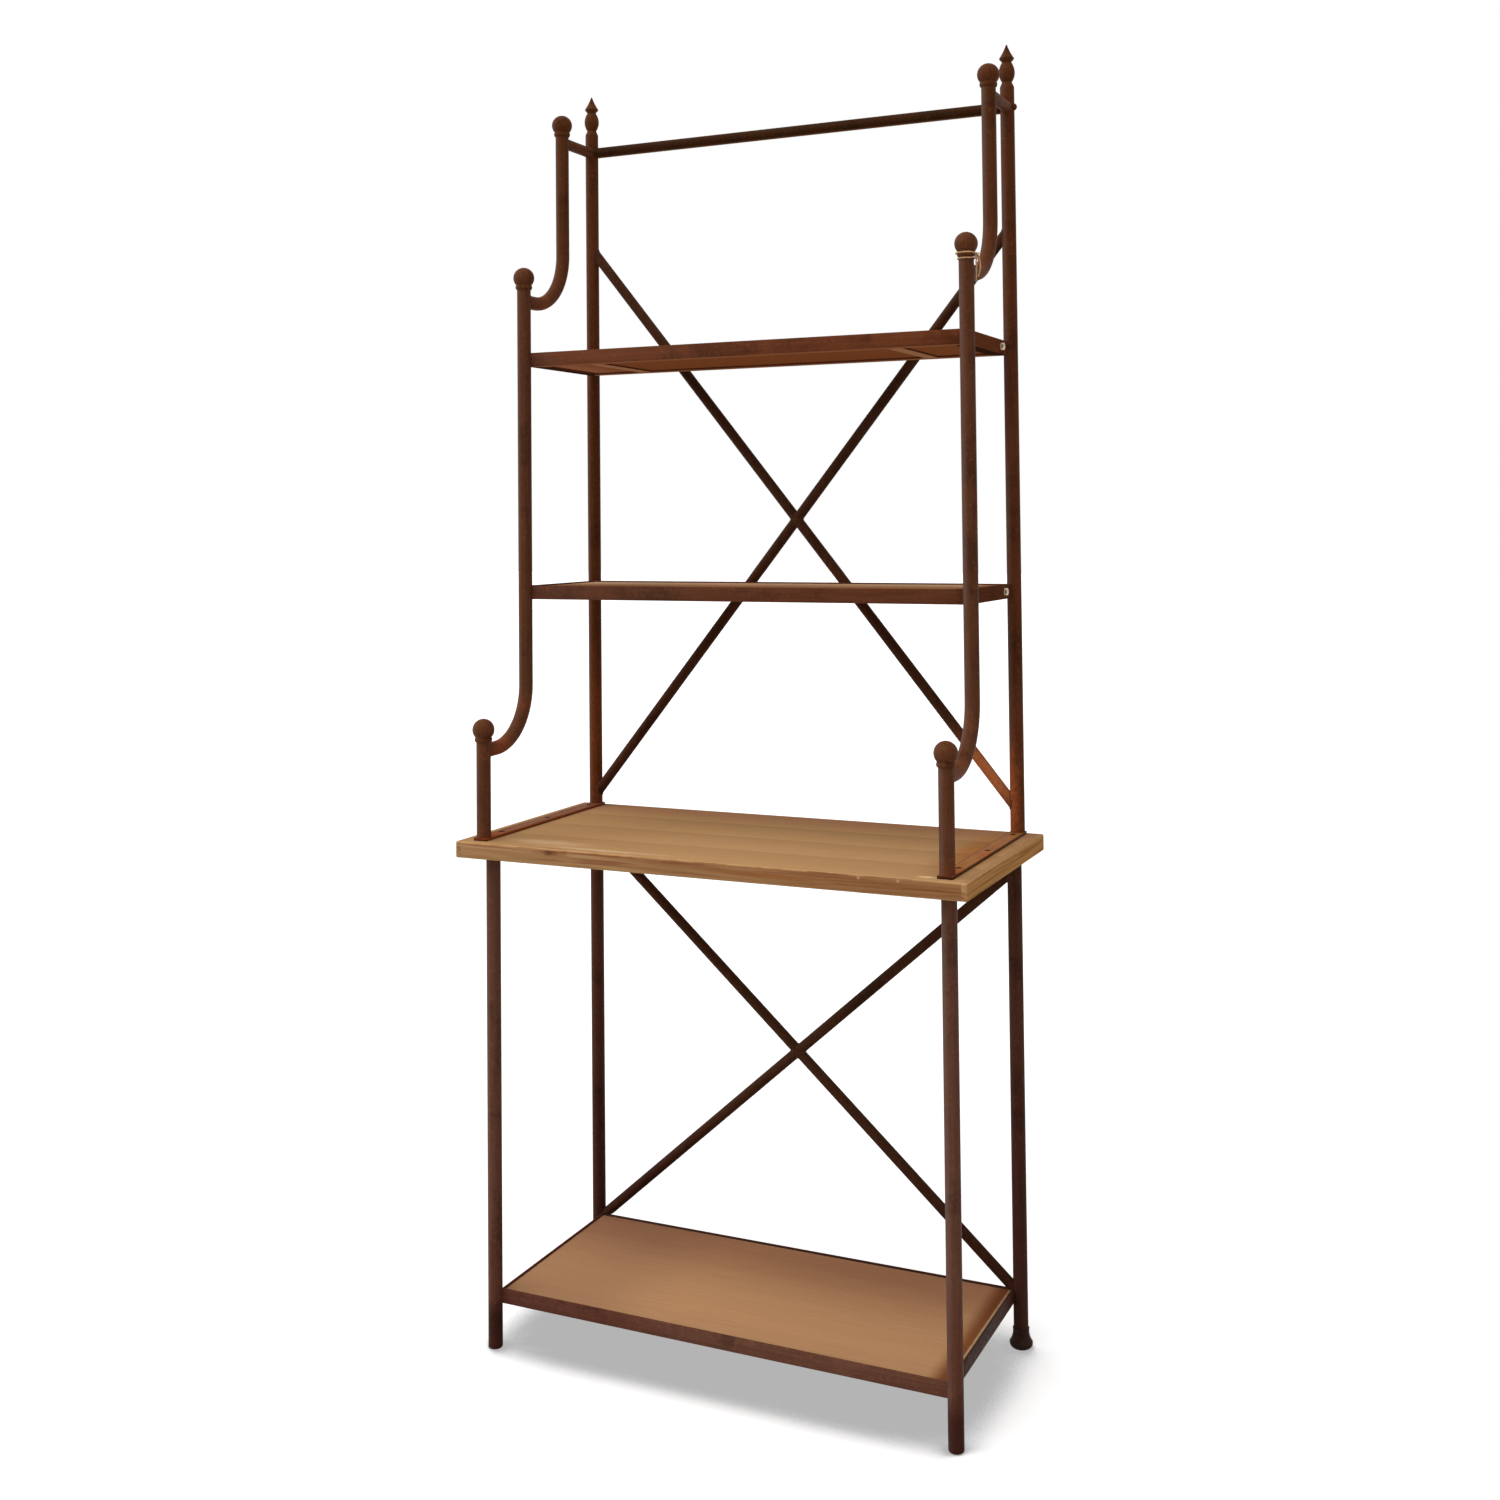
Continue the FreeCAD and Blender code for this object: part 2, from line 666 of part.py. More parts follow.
def make_braces():
    brace_pair("base_brace", LEG_X, LEG_REAR,
               (S.bottom_rim - S.base_through_sink, LEG_TOP - S.base_through_drop),
               (S.bottom_rim - S.base_crossing_sink, LEG_TOP - S.base_crossing_drop),
               S.bottom_rim)
    brace_pair("hutch_brace", POST_X, REAR_POST_Y,
               (S.counter_height + S.hutch_through_rise, RAIL_Z - S.hutch_through_drop),
               (S.counter_height + S.hutch_crossing_rise, RAIL_Z - S.hutch_crossing_drop),
               None)


# ---------------------------------------------------------------- hutch


def make_counter_bars():
    """Flat bars under the hutch posts, screwed down on the counter with countersunk screws."""
    front = FRONT_POST_Y - TUBE_R
    length = REAR_POST_Y + TUBE_R - front
    first = FRONT_POST_Y + S.counter_screw_front
    last = REAR_POST_Y - S.counter_screw_rear
    screws = []
    pilots = []
    for side, sign in SIDES.items():
        x = POST_X * sign
        blank = box(f"counter_bar_{side}_blank", S.bar_width, length, S.bar_thickness,
                    x=x - S.bar_width / 2, y=front, z=S.counter_height)
        holes = []
        for spot, y in (("front", first), ("middle", (first + last) / 2), ("rear", last)):
            tag = f"{side}_{spot}"
            screw, hole, pilot = countersunk_screw(tag, x, y)
            screws.append(screw)
            holes.append(hole)
            pilots.append(pilot)
        keep(f"counter_bar_{side}", cut(f"counter_bar_{side}", blank, holes))
    keep("counter_bar_screws", group("counter_bar_screws", screws))
    return pilots


def countersunk_screw(tag, x, y):
    """A slotted screw flush with a counter bar, with the hole it needs and its pilot hole."""
    top = POST_FOOT
    shank_r, head_r = S.screw_dia / 2, S.screw_head_dia / 2
    spare = S.hole_clearance
    under = top - S.screw_head_height
    long = S.bar_thickness + S.screw_bite - S.screw_head_height
    head = cone(f"bar_screw_head_{tag}", shank_r, head_r, S.screw_head_height, x=x, y=y, z=under)
    shank = cylinder(f"bar_screw_shank_{tag}", shank_r, long, x=x, y=y, z=under - long)
    slot = box(f"bar_screw_slot_{tag}", S.screw_head_dia, S.screw_slot, S.screw_slot_depth,
               x=x - head_r, y=y - S.screw_slot / 2, z=top - S.screw_slot_depth)
    screw = cut(f"bar_screw_{tag}", fuse(f"bar_screw_blank_{tag}", [head, shank]), [slot])
    sink = cone(f"bar_sink_{tag}", shank_r + spare, head_r + spare, S.screw_head_height,
                x=x, y=y, z=under)
    bore = cylinder(f"bar_bore_{tag}", shank_r + spare, S.bar_thickness,
                    x=x, y=y, z=S.counter_height)
    pilot = cylinder(f"bar_pilot_{tag}", shank_r + spare, S.screw_bite + S.pilot_spare,
                     x=x, y=y, z=S.counter_height - S.screw_bite - S.pilot_spare)
    return screw, fuse(f"bar_hole_{tag}", [sink, bore]), pilot


def make_rear_posts():
    """Rear posts, each bored sideways for the bolt of the rear top rail."""
    for side, sign in SIDES.items():
        x = POST_X * sign
        height = REAR_POST_TOP - POST_FOOT
        outer = cylinder(f"rear_post_{side}_outside", TUBE_R, height, x=x, y=REAR_POST_Y, z=POST_FOOT)
        inner = cylinder(f"rear_post_{side}_bore", BORE_R, height, x=x, y=REAR_POST_Y, z=POST_FOOT)
        bolt_hole = cylinder(f"rear_post_{side}_bolt_hole", S.bolt_dia / 2 + S.hole_clearance,
                             S.tube_dia * 2, x=x - S.tube_dia, y=REAR_POST_Y, z=RAIL_Z,
                             axis=Vector(0, 1, 0), angle=90)
        keep(f"rear_post_{side}", cut(f"rear_post_{side}", outer, [inner, bolt_hole]))


def make_front_posts():
    for side, sign in SIDES.items():
        keep(f"front_post_{side}",
             straight_tube(f"front_post_{side}", FRONT_POST_TOP - POST_FOOT,
                           x=POST_X * sign, y=FRONT_POST_Y, z=POST_FOOT))


def hook_post(label, x, y, start, upper_top):
    """A tube that leaves a post sideways under its finial and bends up into the next post."""
    body = doc.addObject("PartDesign::Body", label)
    section = new_sketch(body, "XZ_Plane", f"{label}_section")
    draw_circle(section, ZERO, ZERO, TUBE_R)
    draw_circle(section, ZERO, ZERO, BORE_R)
    path = new_sketch(body, "YZ_Plane", f"{label}_path")
    run = S.tier_step - S.hook_radius
    rise = upper_top - start
    points = [(ZERO, ZERO), (run, ZERO), (S.tier_step, S.hook_radius), (S.tier_step, rise)]
    corners = [Vector(along.value, up.value, 0) for along, up in points]
    bend, _ = arc_between(corners[1], corners[2], S.hook_radius.value, 1)
    for curve in (Part.LineSegment(*corners[:2]), bend, Part.LineSegment(*corners[2:])):
        path.addGeometry(curve, False)
    path.addConstraint(Sketcher.Constraint("Coincident", 0, 2, 1, 1))
    path.addConstraint(Sketcher.Constraint("Coincident", 1, 2, 2, 1))
    for number, end, point in ((0, 1, 0), (1, 1, 1), (1, 2, 2), (2, 2, 3)):
        fix_point(path, number, end, *points[point])
    radius = path.addConstraint(Sketcher.Constraint("Radius", 1, S.hook_radius.value))
    path.setExpression(f"Constraints[{radius}]", S.hook_radius.formula)
    pipe = body.newObject("PartDesign::AdditivePipe", "Pipe")
    pipe.Profile = section
    pipe.Spine = path
    saddle = new_sketch(body, "XY_Plane", f"{label}_saddle", lift=S.tube_dia)
    draw_circle(saddle, ZERO, ZERO, TUBE_R)
    pocket(body, saddle, S.tube_dia * 2)
    keep(label, place(body, x=x, y=y, z=start))


def make_hook_posts():
    lower, upper = FRONT_POST_TOP - S.lower_hook_drop, MIDDLE_POST_TOP - S.upper_hook_drop
    for side, sign in SIDES.items():
        x = POST_X * sign
        hook_post(f"middle_post_{side}", x, FRONT_POST_Y, lower, MIDDLE_POST_TOP)
        hook_post(f"upper_post_{side}", x, MIDDLE_POST_Y, upper, UPPER_POST_TOP)


def make_top_rails():
    """A rear rail bolted between the rear posts, and two short side rails welded in."""
    rail_r = S.rail_dia / 2
    bore_r = rail_r - S.rail_wall
    sideways = Vector(0, 1, 0)
    rear = cylinder("top_rail_rear_rod", rail_r, POST_X * 2, x=-POST_X, y=REAR_POST_Y,
                    z=RAIL_Z, axis=sideways, angle=90)
    hollow = POST_X - TUBE_R - S.rail_plug
    tools = [cylinder("top_rail_rear_bore", bore_r, hollow * 2, x=-hollow, y=REAR_POST_Y,
                      z=RAIL_Z, axis=sideways, angle=90)]
    bolts = []
    for side, sign in SIDES.items():
        x = POST_X * sign
        tools.append(cylinder(f"top_rail_saddle_{side}", TUBE_R, S.tube_dia * 2,
                              x=x, y=REAR_POST_Y, z=RAIL_Z - S.tube_dia))
        reach = TUBE_R + S.bolt_reach + S.pilot_spare
        tools.append(cylinder(f"top_rail_thread_{side}", S.bolt_dia / 2 + S.hole_clearance, reach,
                              x=x - reach * sign, y=REAR_POST_Y, z=RAIL_Z,
                              axis=sideways, angle=90 * sign))
        bolts.append(rail_bolt(side, sign))
    keep("top_rail_rear", cut("top_rail_rear", rear, tools))
    keep("top_rail_bolts", group("top_rail_bolts", bolts))

    along = Vector(1, 0, 0)
    for side, sign in SIDES.items():
        x = POST_X * sign
        length = REAR_POST_Y - UPPER_POST_Y
        rod = cylinder(f"top_rail_{side}_rod", rail_r, length, x=x, y=UPPER_POST_Y,
                       z=RAIL_Z, axis=along, angle=-90)
        bore = cylinder(f"top_rail_{side}_bore", bore_r, length, x=x, y=UPPER_POST_Y,
                        z=RAIL_Z, axis=along, angle=-90)
        saddles = [cylinder(f"top_rail_{side}_saddle_{spot}", TUBE_R, S.tube_dia * 2,
                            x=x, y=y, z=RAIL_Z - S.tube_dia)
                   for spot, y in (("front", UPPER_POST_Y), ("rear", REAR_POST_Y))]
        keep(f"top_rail_{side}", cut(f"top_rail_{side}", rod, [bore, *saddles, rear]))


def rail_bolt(side, sign):
    """A domed bolt through a rear post into the end of the rear rail."""
    head_r, shank_r = S.bolt_head_dia / 2, S.bolt_dia / 2
    dome = (head_r * head_r + S.bolt_head_height * S.bolt_head_height) / (S.bolt_head_height * 2)
    length = S.tube_dia + S.bolt_reach
    points = [(ZERO, -length), (shank_r, -length), (shank_r, ZERO), (head_r, ZERO),
              (ZERO, S.bolt_head_height)]
    bolt = turned_piece(f"top_rail_bolt_{side}", points, {3: (dome, 1)})
    return place(bolt, x=(POST_X + TUBE_R) * sign, y=REAR_POST_Y, z=RAIL_Z,
                 axis=Vector(0, 1, 0), angle=90 * sign)


# ---------------------------------------------------------------- finials and twine


def ball_finial(name, **where):
    """A turned ball on a collar, with a spigot that plugs into a post."""
    ball_r = S.ball_dia / 2
    bead_r = S.collar_height * COLLAR_BEND
    collar_r = S.collar_dia / 2 - bead_r + other_leg(bead_r, S.collar_height / 2)
    centre = S.collar_height + ball_r - S.ball_sink
    seat_r = other_leg(ball_r, ball_r - S.ball_sink)
    crown = centre + ball_r
    points = [(ZERO, -S.spigot_length), (PLUG_R, -S.spigot_length), (PLUG_R, ZERO),
              (collar_r, ZERO), (collar_r, S.collar_height), (seat_r, S.collar_height),
              (ball_r, centre), (ZERO, crown)]
    finial = turned_piece(name, points, {3: (bead_r, 1), 5: (ball_r, 1), 6: (ball_r, 1)})
    return place(finial, **where)


def make_ball_finials():
    tiers = (("front", FRONT_POST_Y, FRONT_POST_TOP), ("middle", MIDDLE_POST_Y, MIDDLE_POST_TOP),
             ("upper", UPPER_POST_Y, UPPER_POST_TOP))
    for tier, y, top in tiers:
        balls = [ball_finial(f"ball_finial_{tier}_{side}", x=POST_X * sign, y=y, z=top)
                 for side, sign in SIDES.items()]
        keep(f"ball_finials_{tier}", group(f"ball_finials_{tier}", balls))


def make_spear_finials():
    """Turned finials of the rear posts: neck, urn, waist and a pointed head with a rim."""
    neck_r, urn_r = S.spear_neck_dia / 2, S.spear_urn_dia / 2
    waist_r, tip_r = S.spear_waist_dia / 2, S.spear_tip_dia / 2
    bead_r = S.spear_rim * RIM_BEND
    rim_r = S.spear_head_dia / 2 - bead_r + other_leg(bead_r, S.spear_rim / 2)
    points = [(ZERO, -S.spigot_length), (PLUG_R, -S.spigot_length), (PLUG_R, ZERO), (TUBE_R, ZERO),
              (neck_r, S.spear_neck_height), (urn_r, S.spear_urn_height),
              (waist_r, S.spear_waist_height), (rim_r, S.spear_head_height - S.spear_rim),
              (rim_r, S.spear_head_height), (tip_r, S.spear_tip_height - tip_r),
              (ZERO, S.spear_tip_height)]
    cup = hypotenuse(urn_r - neck_r, S.spear_urn_height - S.spear_neck_height) * URN_BEND
    shoulder = hypotenuse(urn_r - waist_r, S.spear_waist_height - S.spear_urn_height) * URN_BEND
    sweep = hypotenuse(rim_r - tip_r, S.spear_tip_height - S.spear_head_height) * SPEAR_BEND
    arcs = {4: (cup, 1), 5: (shoulder, 1), 7: (bead_r, 1), 8: (sweep, -1), 9: (tip_r, 1)}
    for side, sign in SIDES.items():
        finial = turned_piece(f"spear_finial_{side}", points, arcs)
        keep(f"spear_finial_{side}",
             place(finial, x=POST_X * sign, y=REAR_POST_Y, z=REAR_POST_TOP))


def make_twine():
    """Twine wound round the collar of the right middle finial, with a short tail."""
    inside = S.collar_dia / 2 + S.twine_gap
    outside = inside + S.twine_thickness
    low = MIDDLE_POST_TOP - S.twine_drop
    ring = cylinder("twine_outside", outside, S.twine_height, x=POST_X, y=MIDDLE_POST_Y, z=low)
    eye = cylinder("twine_inside", inside, S.twine_height, x=POST_X, y=MIDDLE_POST_Y, z=low)
    tail = cylinder("twine_tail", S.twine_tail_dia / 2, S.twine_tail_length,
                    x=POST_X + turned(outside, S.twine_tail_angle, "cos"),
                    y=MIDDLE_POST_Y + turned(outside, S.twine_tail_angle, "sin"),
                    z=low + S.twine_height / 2 - S.twine_tail_length)
    band = cut("twine_band", ring, [eye])
    keep("twine_tie", fuse("twine_tie", [band, tail]))


# ---------------------------------------------------------------- build, check and write


def main():
    make_legs()
    make_front_feet()
    make_rear_feet()
    frame_pilots = make_counter_frame()
    bar_pilots = make_counter_bars()
    make_counter(frame_pilots + bar_pilots)
    make_shelves()
    make_braces()
    make_rear_posts()
    make_front_posts()
    make_hook_posts()
    make_top_rails()
    make_ball_finials()
    make_spear_finials()
    make_twine()
    doc.recompute()

    for thing in doc.Objects:
        faults = {"Invalid", "Error"} & set(thing.State)
        if faults:
            raise RuntimeError(f"{thing.Label} failed: {sorted(faults)}")
    for label, thing in nodes.items():
        if thing.Shape.isNull() or not thing.Shape.isValid():
            raise RuntimeError(f"{label} has no valid shape")
    for label, thing in nodes.items():
        thing.Shape.exportStep(f"parts/{label}.step")
    print(f"{len(nodes)} nodes, {sum(len(thing.Shape.Solids) for thing in nodes.values())} solids")


main()
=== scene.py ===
import functools
import json
import math

import bmesh
import bpy
from bpy.props import FloatProperty, FloatVectorProperty, PointerProperty
from mathutils import Matrix, Vector

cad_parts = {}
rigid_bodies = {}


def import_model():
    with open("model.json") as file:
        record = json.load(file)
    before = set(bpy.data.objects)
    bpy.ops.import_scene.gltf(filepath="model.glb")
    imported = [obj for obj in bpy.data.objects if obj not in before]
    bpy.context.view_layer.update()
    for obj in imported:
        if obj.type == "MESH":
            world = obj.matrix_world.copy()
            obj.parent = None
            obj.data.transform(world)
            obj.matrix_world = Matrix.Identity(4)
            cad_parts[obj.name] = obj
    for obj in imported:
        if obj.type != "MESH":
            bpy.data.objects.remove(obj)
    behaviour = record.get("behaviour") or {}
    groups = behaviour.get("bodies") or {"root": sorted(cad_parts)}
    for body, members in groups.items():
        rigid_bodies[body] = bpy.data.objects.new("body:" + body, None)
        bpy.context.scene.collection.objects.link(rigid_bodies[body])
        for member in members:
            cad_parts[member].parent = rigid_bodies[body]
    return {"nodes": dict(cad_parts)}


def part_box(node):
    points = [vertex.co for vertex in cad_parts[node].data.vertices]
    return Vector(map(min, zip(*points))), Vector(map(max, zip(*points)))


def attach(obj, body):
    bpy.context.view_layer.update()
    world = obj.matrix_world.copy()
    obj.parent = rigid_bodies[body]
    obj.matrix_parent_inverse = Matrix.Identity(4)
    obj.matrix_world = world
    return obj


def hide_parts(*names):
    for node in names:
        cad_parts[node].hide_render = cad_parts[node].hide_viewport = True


bl_info = {
    "name": "Bakers Rack Dressing",
    "version": (1, 0, 0),
    "blender": (4, 5, 0),
    "location": "3D View > Sidebar > Rack",
    "description": "Gives the packed bakers rack its wood, iron, welds, screws and twine",
    "category": "Object",
}

# Metres.  +X is to the right as one stands in front of the rack, +Y is to the rear, +Z is up.

for leftover in list(bpy.data.objects):
    bpy.data.objects.remove(leftover)
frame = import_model()
bpy.context.view_layer.update()

BODY = "root"
SIDES = ("left", "right")
SIDE_SIGN = {"left": -1.0, "right": 1.0}
CORNERS = tuple((side, row) for side in SIDES for row in ("front", "rear"))
SHELVES = ("bottom_shelf", "middle_shelf", "upper_shelf")
RAIL_SIDES = ("front", "rear", "left", "right")
PLANKS = ("front", "mid_front", "mid_rear", "rear")
X, Y, Z = range(3)
FLAT, EDGE = True, False
EVEN = (1.0, 1.0, 1.0)


def middle(name):
    """The middle of a node's box."""
    low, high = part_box(name)
    return (low + high) / 2


def half_width(name):
    """Half of a node's size along X."""
    low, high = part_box(name)
    return (high.x - low.x) / 2


# ---------------------------------------------------------------- sizes and colours


def length(name, description, default):
    """A size that a user may change, in metres."""
    return FloatProperty(name=name, description=description, default=default, unit="LENGTH",
                         precision=5, min=0.0)


def amount(name, description, default, top=1.0):
    """A share or a strength that a user may change."""
    return FloatProperty(name=name, description=description, default=default, min=0.0, max=top)


def colour(name, description, default):
    """A colour that a user may change."""
    return FloatVectorProperty(name=name, description=description, default=default,
                               subtype="COLOR", size=3, min=0.0, max=1.0)


class RackSizes(bpy.types.PropertyGroup):
    """Sizes of the details that the finished rack adds to its solids."""

    tube_radius: length("Tube radius", "Outside radius of legs and posts",
                        half_width("leg_front_left"))
    brace_radius: length("Brace radius", "Radius of the crossed rods", 0.0095)
    rail_radius: length("Rail radius", "Radius of the top rails", half_width("top_rail_left"))
    base_through_low: length("Base through rod foot", "Where its axis meets the right leg", 0.0895)
    base_through_high: length("Base through rod head", "Where its axis meets the left leg", 0.842)
    base_crossing_low: length("Base crossing rod foot", "Where its axis meets the left leg", 0.087)
    base_crossing_high: length("Base crossing rod head", "Where its axis meets the right leg", 0.8295)
    hutch_through_low: length("Hutch through rod foot", "Where its axis meets the right post", 0.933)
    hutch_through_high: length("Hutch through rod head", "Where its axis meets the left post", 1.989)
    hutch_crossing_low: length("Hutch crossing rod foot", "Where its axis meets the left post", 0.910)
    hutch_crossing_high: length("Hutch crossing rod head", "Where its axis meets the right post",
                                1.964)
    board_round: length("Board rounding", "Radius of the counter's outer edges", 0.0032)
    board_ease: length("Board easing", "Tiny chamfer along the joints between boards", 0.00015)
    panel_round: length("Panel rounding", "Radius of a shelf panel's edges", 0.0016)
    iron_round: length("Iron rounding", "Radius of the edges of rolled iron", 0.0007)
    weld_radius: length("Weld radius", "Half the width of a small weld bead", 0.0014)
    foot_weld: length("Foot weld radius", "Half the width of the bead at a tube's end", 0.0008)
    joint_weld: length("Joint weld radius", "Half the width of a weld between two tubes", 0.0030)
    weld_step: length("Weld step", "Distance between the ripples of a weld", 0.0020)
    seam_inset: length("Seam inset", "From a rail's edge to the end of its weld", 0.002)
    screw_radius: length("Screw head radius", "Heads of the wood screws", 0.0045)
    screw_shank: length("Screw shank radius", "Shanks of the wood screws", 0.00225)
    screw_slot: length("Screw slot", "Width of the slot in a screw head", 0.001)
    slot_depth: length("Slot depth", "Depth of the slot in a screw head", 0.0011)
    screw_head: length("Screw head height", "Height of a wood screw's head", 0.0026)
    screw_length: length("Screw length", "Length of a wood screw below its head", 0.0194)
    screw_ease: length("Screw easing", "Rounding of a screw head's rim", 0.00025)
    frame_screw_length: length("Frame screw length", "Screws under the counter", 0.022)
    frame_screw_inset: length("Frame screw inset", "From a leg to the next screw along", 0.12)
    side_screw_inset: length("Side screw inset", "From a leg to the screw behind it", 0.11)
    hex_radius: length("Hexagon radius", "Corner radius of the lag screw heads", 0.006351)
    hex_height: length("Hexagon height", "Height of the lag screw heads", 0.005)
    hex_ease: length("Hexagon easing", "Height of the cone turned on a lag screw's head", 0.0006)
    lag_radius: length("Lag screw radius", "Shanks of the lag screws", 0.003)
    lag_length: length("Lag screw length", "Shank length under the washer's outer face", 0.0375)
    lag_drop: length("Lag screw drop", "From a shelf's rim down to its lag screws", 0.0124)
    washer_radius: length("Washer radius", "Outside radius of the washers", 0.00675)
    washer_height: length("Washer thickness", "Thickness of the washers", 0.0015)
    washer_ease: length("Washer easing", "Chamfer of a washer's rim", 0.0003)
    twine_radius: length("Twine radius", "Half the thickness of the twine", 0.0014)
    twine_upper: length("Upper turn", "Radius of the turn round the collar", 0.0169)
    twine_lower: length("Lower turn", "Radius of the turn round the post", 0.0141)
    twine_rise: length("Upper turn height", "Over the post's top", 0.0055)
    twine_drop: length("Lower turn depth", "Under the post's top", 0.0036)
    twine_tail: length("Twine tail", "How far the longer end hangs down", 0.0440)
    twine_knot: length("Twine knot", "Size of the knot's loops", 0.0020)
    twine_parting: length("Twine parting", "From the knot's middle to each end's start", 0.0018)


class RackFinishes(bpy.types.PropertyGroup):
    """Colours and strengths of the rack's finishes."""

    iron_leg: colour("Iron, legs", "Front legs", (0.135, 0.055, 0.033))
    iron_post: colour("Iron, posts", "Front and middle posts", (0.115, 0.040, 0.018))
    iron_high_post: colour("Iron, upper posts", "Upper posts and side rails", (0.110, 0.034, 0.0115))
    # The rear posts, rear legs, braces and rear rail are darker: painted shade, as they stand behind.
    iron_rear: colour("Iron, rear posts", "Posts along the rear", (0.106, 0.030, 0.0098))
    iron_back: colour("Iron, rear legs", "Rear legs", (0.086, 0.031, 0.0165))
    iron_brace: colour("Iron, braces", "Crossed rods", (0.066, 0.024, 0.011))
    iron_high_rail: colour("Iron, rear rail", "Rail between the rear posts", (0.046, 0.016, 0.005))
    iron_low_rail: colour("Iron, bottom frame", "Rails of the bottom shelf", (0.146, 0.059, 0.035))
    iron_rail: colour("Iron, middle frame", "Rails of the middle shelf", (0.132, 0.042, 0.019))
    iron_upper_rail: colour("Iron, upper frame", "Rails of the upper shelf", (0.172, 0.050, 0.020))
    iron_ball: colour("Iron, balls", "Turned balls", (0.124, 0.041, 0.015))
    iron_high_ball: colour("Iron, upper balls", "Balls of the upper posts", (0.108, 0.032, 0.009))
    iron_bell: colour("Iron, bell feet", "Cast feet of the rear legs", (0.040, 0.019, 0.014))
    # Also painted shade: the bottom shelf's right and rear rails and the upper side rails' undersides.
    iron_hidden: colour("Iron, under the counter", "Frame under the counter", (0.050, 0.019, 0.011))
    iron_left_bar: colour("Iron, left bar", "Left bar on the counter", (0.215, 0.075, 0.029))
    iron_right_bar: colour("Iron, right bar", "Right bar on the counter", (0.37, 0.150, 0.040))
    # The undersides' colours below are much paler than their iron: painted light.
    iron_under: colour("Iron, undersides", "Undersides of the hutch frames", (0.42, 0.165, 0.072))
    iron_bearer: colour("Iron, bearers", "Undersides of the bearers", (0.54, 0.25, 0.125))
    iron_rail_under: colour("Iron, under the rear rail", "Underside of the rear rail",
                            (0.17, 0.066, 0.020))
    iron_lit_brace: colour("Iron, lit brace", "Right end of the hutch brace", (0.56, 0.20, 0.075))
    iron_left_side: colour("Iron, left bar's sides", "Upright faces of the left bar",
                           (0.36, 0.090, 0.022))
    # The right bar's dark upright faces are painted shade.
    iron_right_side: colour("Iron, right bar's sides", "Upright faces of the right bar",
                            (0.055, 0.020, 0.010))
    iron_screw_ring: colour("Iron, screw rings", "Dark rings round the bars' screws",
                            (0.014, 0.008, 0.006))
    # A painted sheen: a pale highlight where the iron faces the left front.
    iron_left_sheen: colour("Left Sheen", "Painted sheen where the iron faces the left front", (0.165, 0.112, 0.094))
    iron_rust: colour("Rust", "Warm rust by the welds", (0.43, 0.108, 0.030))
    iron_gloss: amount("Iron roughness", "Roughness of the iron's finish", 0.52)
    wood_light: colour("Counter, light", "Early wood of the counter", (0.494, 0.280, 0.124))
    wood_dark: colour("Counter, dark", "Late wood of the counter", (0.375, 0.184, 0.074))
    wood_knot: colour("Counter, knot", "Knot on the counter's front edge", (0.16, 0.060, 0.032))
    wood_streak: colour("Wood streaks", "Red streaks on the edges", (0.25, 0.082, 0.036))
    wood_stain: colour("Counter, stain", "Broad streak on the front edge", (0.34, 0.12, 0.036))
    wood_chip: colour("Counter, chips", "Pale chips on the front edge", (0.60, 0.40, 0.22))
    wood_gold: colour("Counter, golden", "Golden patch by the right bar", (0.47, 0.19, 0.058))
    wood_glint: colour("Counter, glint", "Pale patch by the right front post", (0.90, 0.70, 0.34))
    wood_pale: colour("Counter, pale", "Pale streaks along the front", (0.80, 0.56, 0.36))
    wood_dark_corner: colour("Counter, dark corner", "Dark left front corner", (0.10, 0.045, 0.022))
    wood_scuff: colour("Counter, scuff", "Greyish left end of the front edge", (0.22, 0.17, 0.13))
    wood_honey: colour("Counter, honey", "Warm spot on the right end band", (0.50, 0.24, 0.05))
    shelf_light: colour("Shelves, light", "Early wood of the shelves", (0.600, 0.322, 0.157))
    shelf_dark: colour("Shelves, dark", "Late wood of the shelves", (0.480, 0.228, 0.102))
    shelf_stain: colour("Shelves, stain", "Dark stain under the shelves", (0.315, 0.096, 0.030))
    # Painted light under the left end of the upper shelf.
    shelf_lit: colour("Shelves, painted light", "Left end under the upper shelf", (0.51, 0.198, 0.098))
    # A painted highlight along each panel's right end.
    shelf_edge_highlight: colour("Shelves, edge highlight", "Painted highlight along the right end", (0.66, 0.44, 0.24))
    zinc: colour("Zinc", "Bright plating of the lag screws", (0.66, 0.54, 0.37))
    screw: colour("Screws", "Blackened wood screws", (0.012, 0.006, 0.004))
    twine_light: colour("Twine, light", "Light fibres of the twine", (0.93, 0.56, 0.29))
    twine_dark: colour("Twine, dark", "Shaded fibres of the twine", (0.50, 0.24, 0.080))


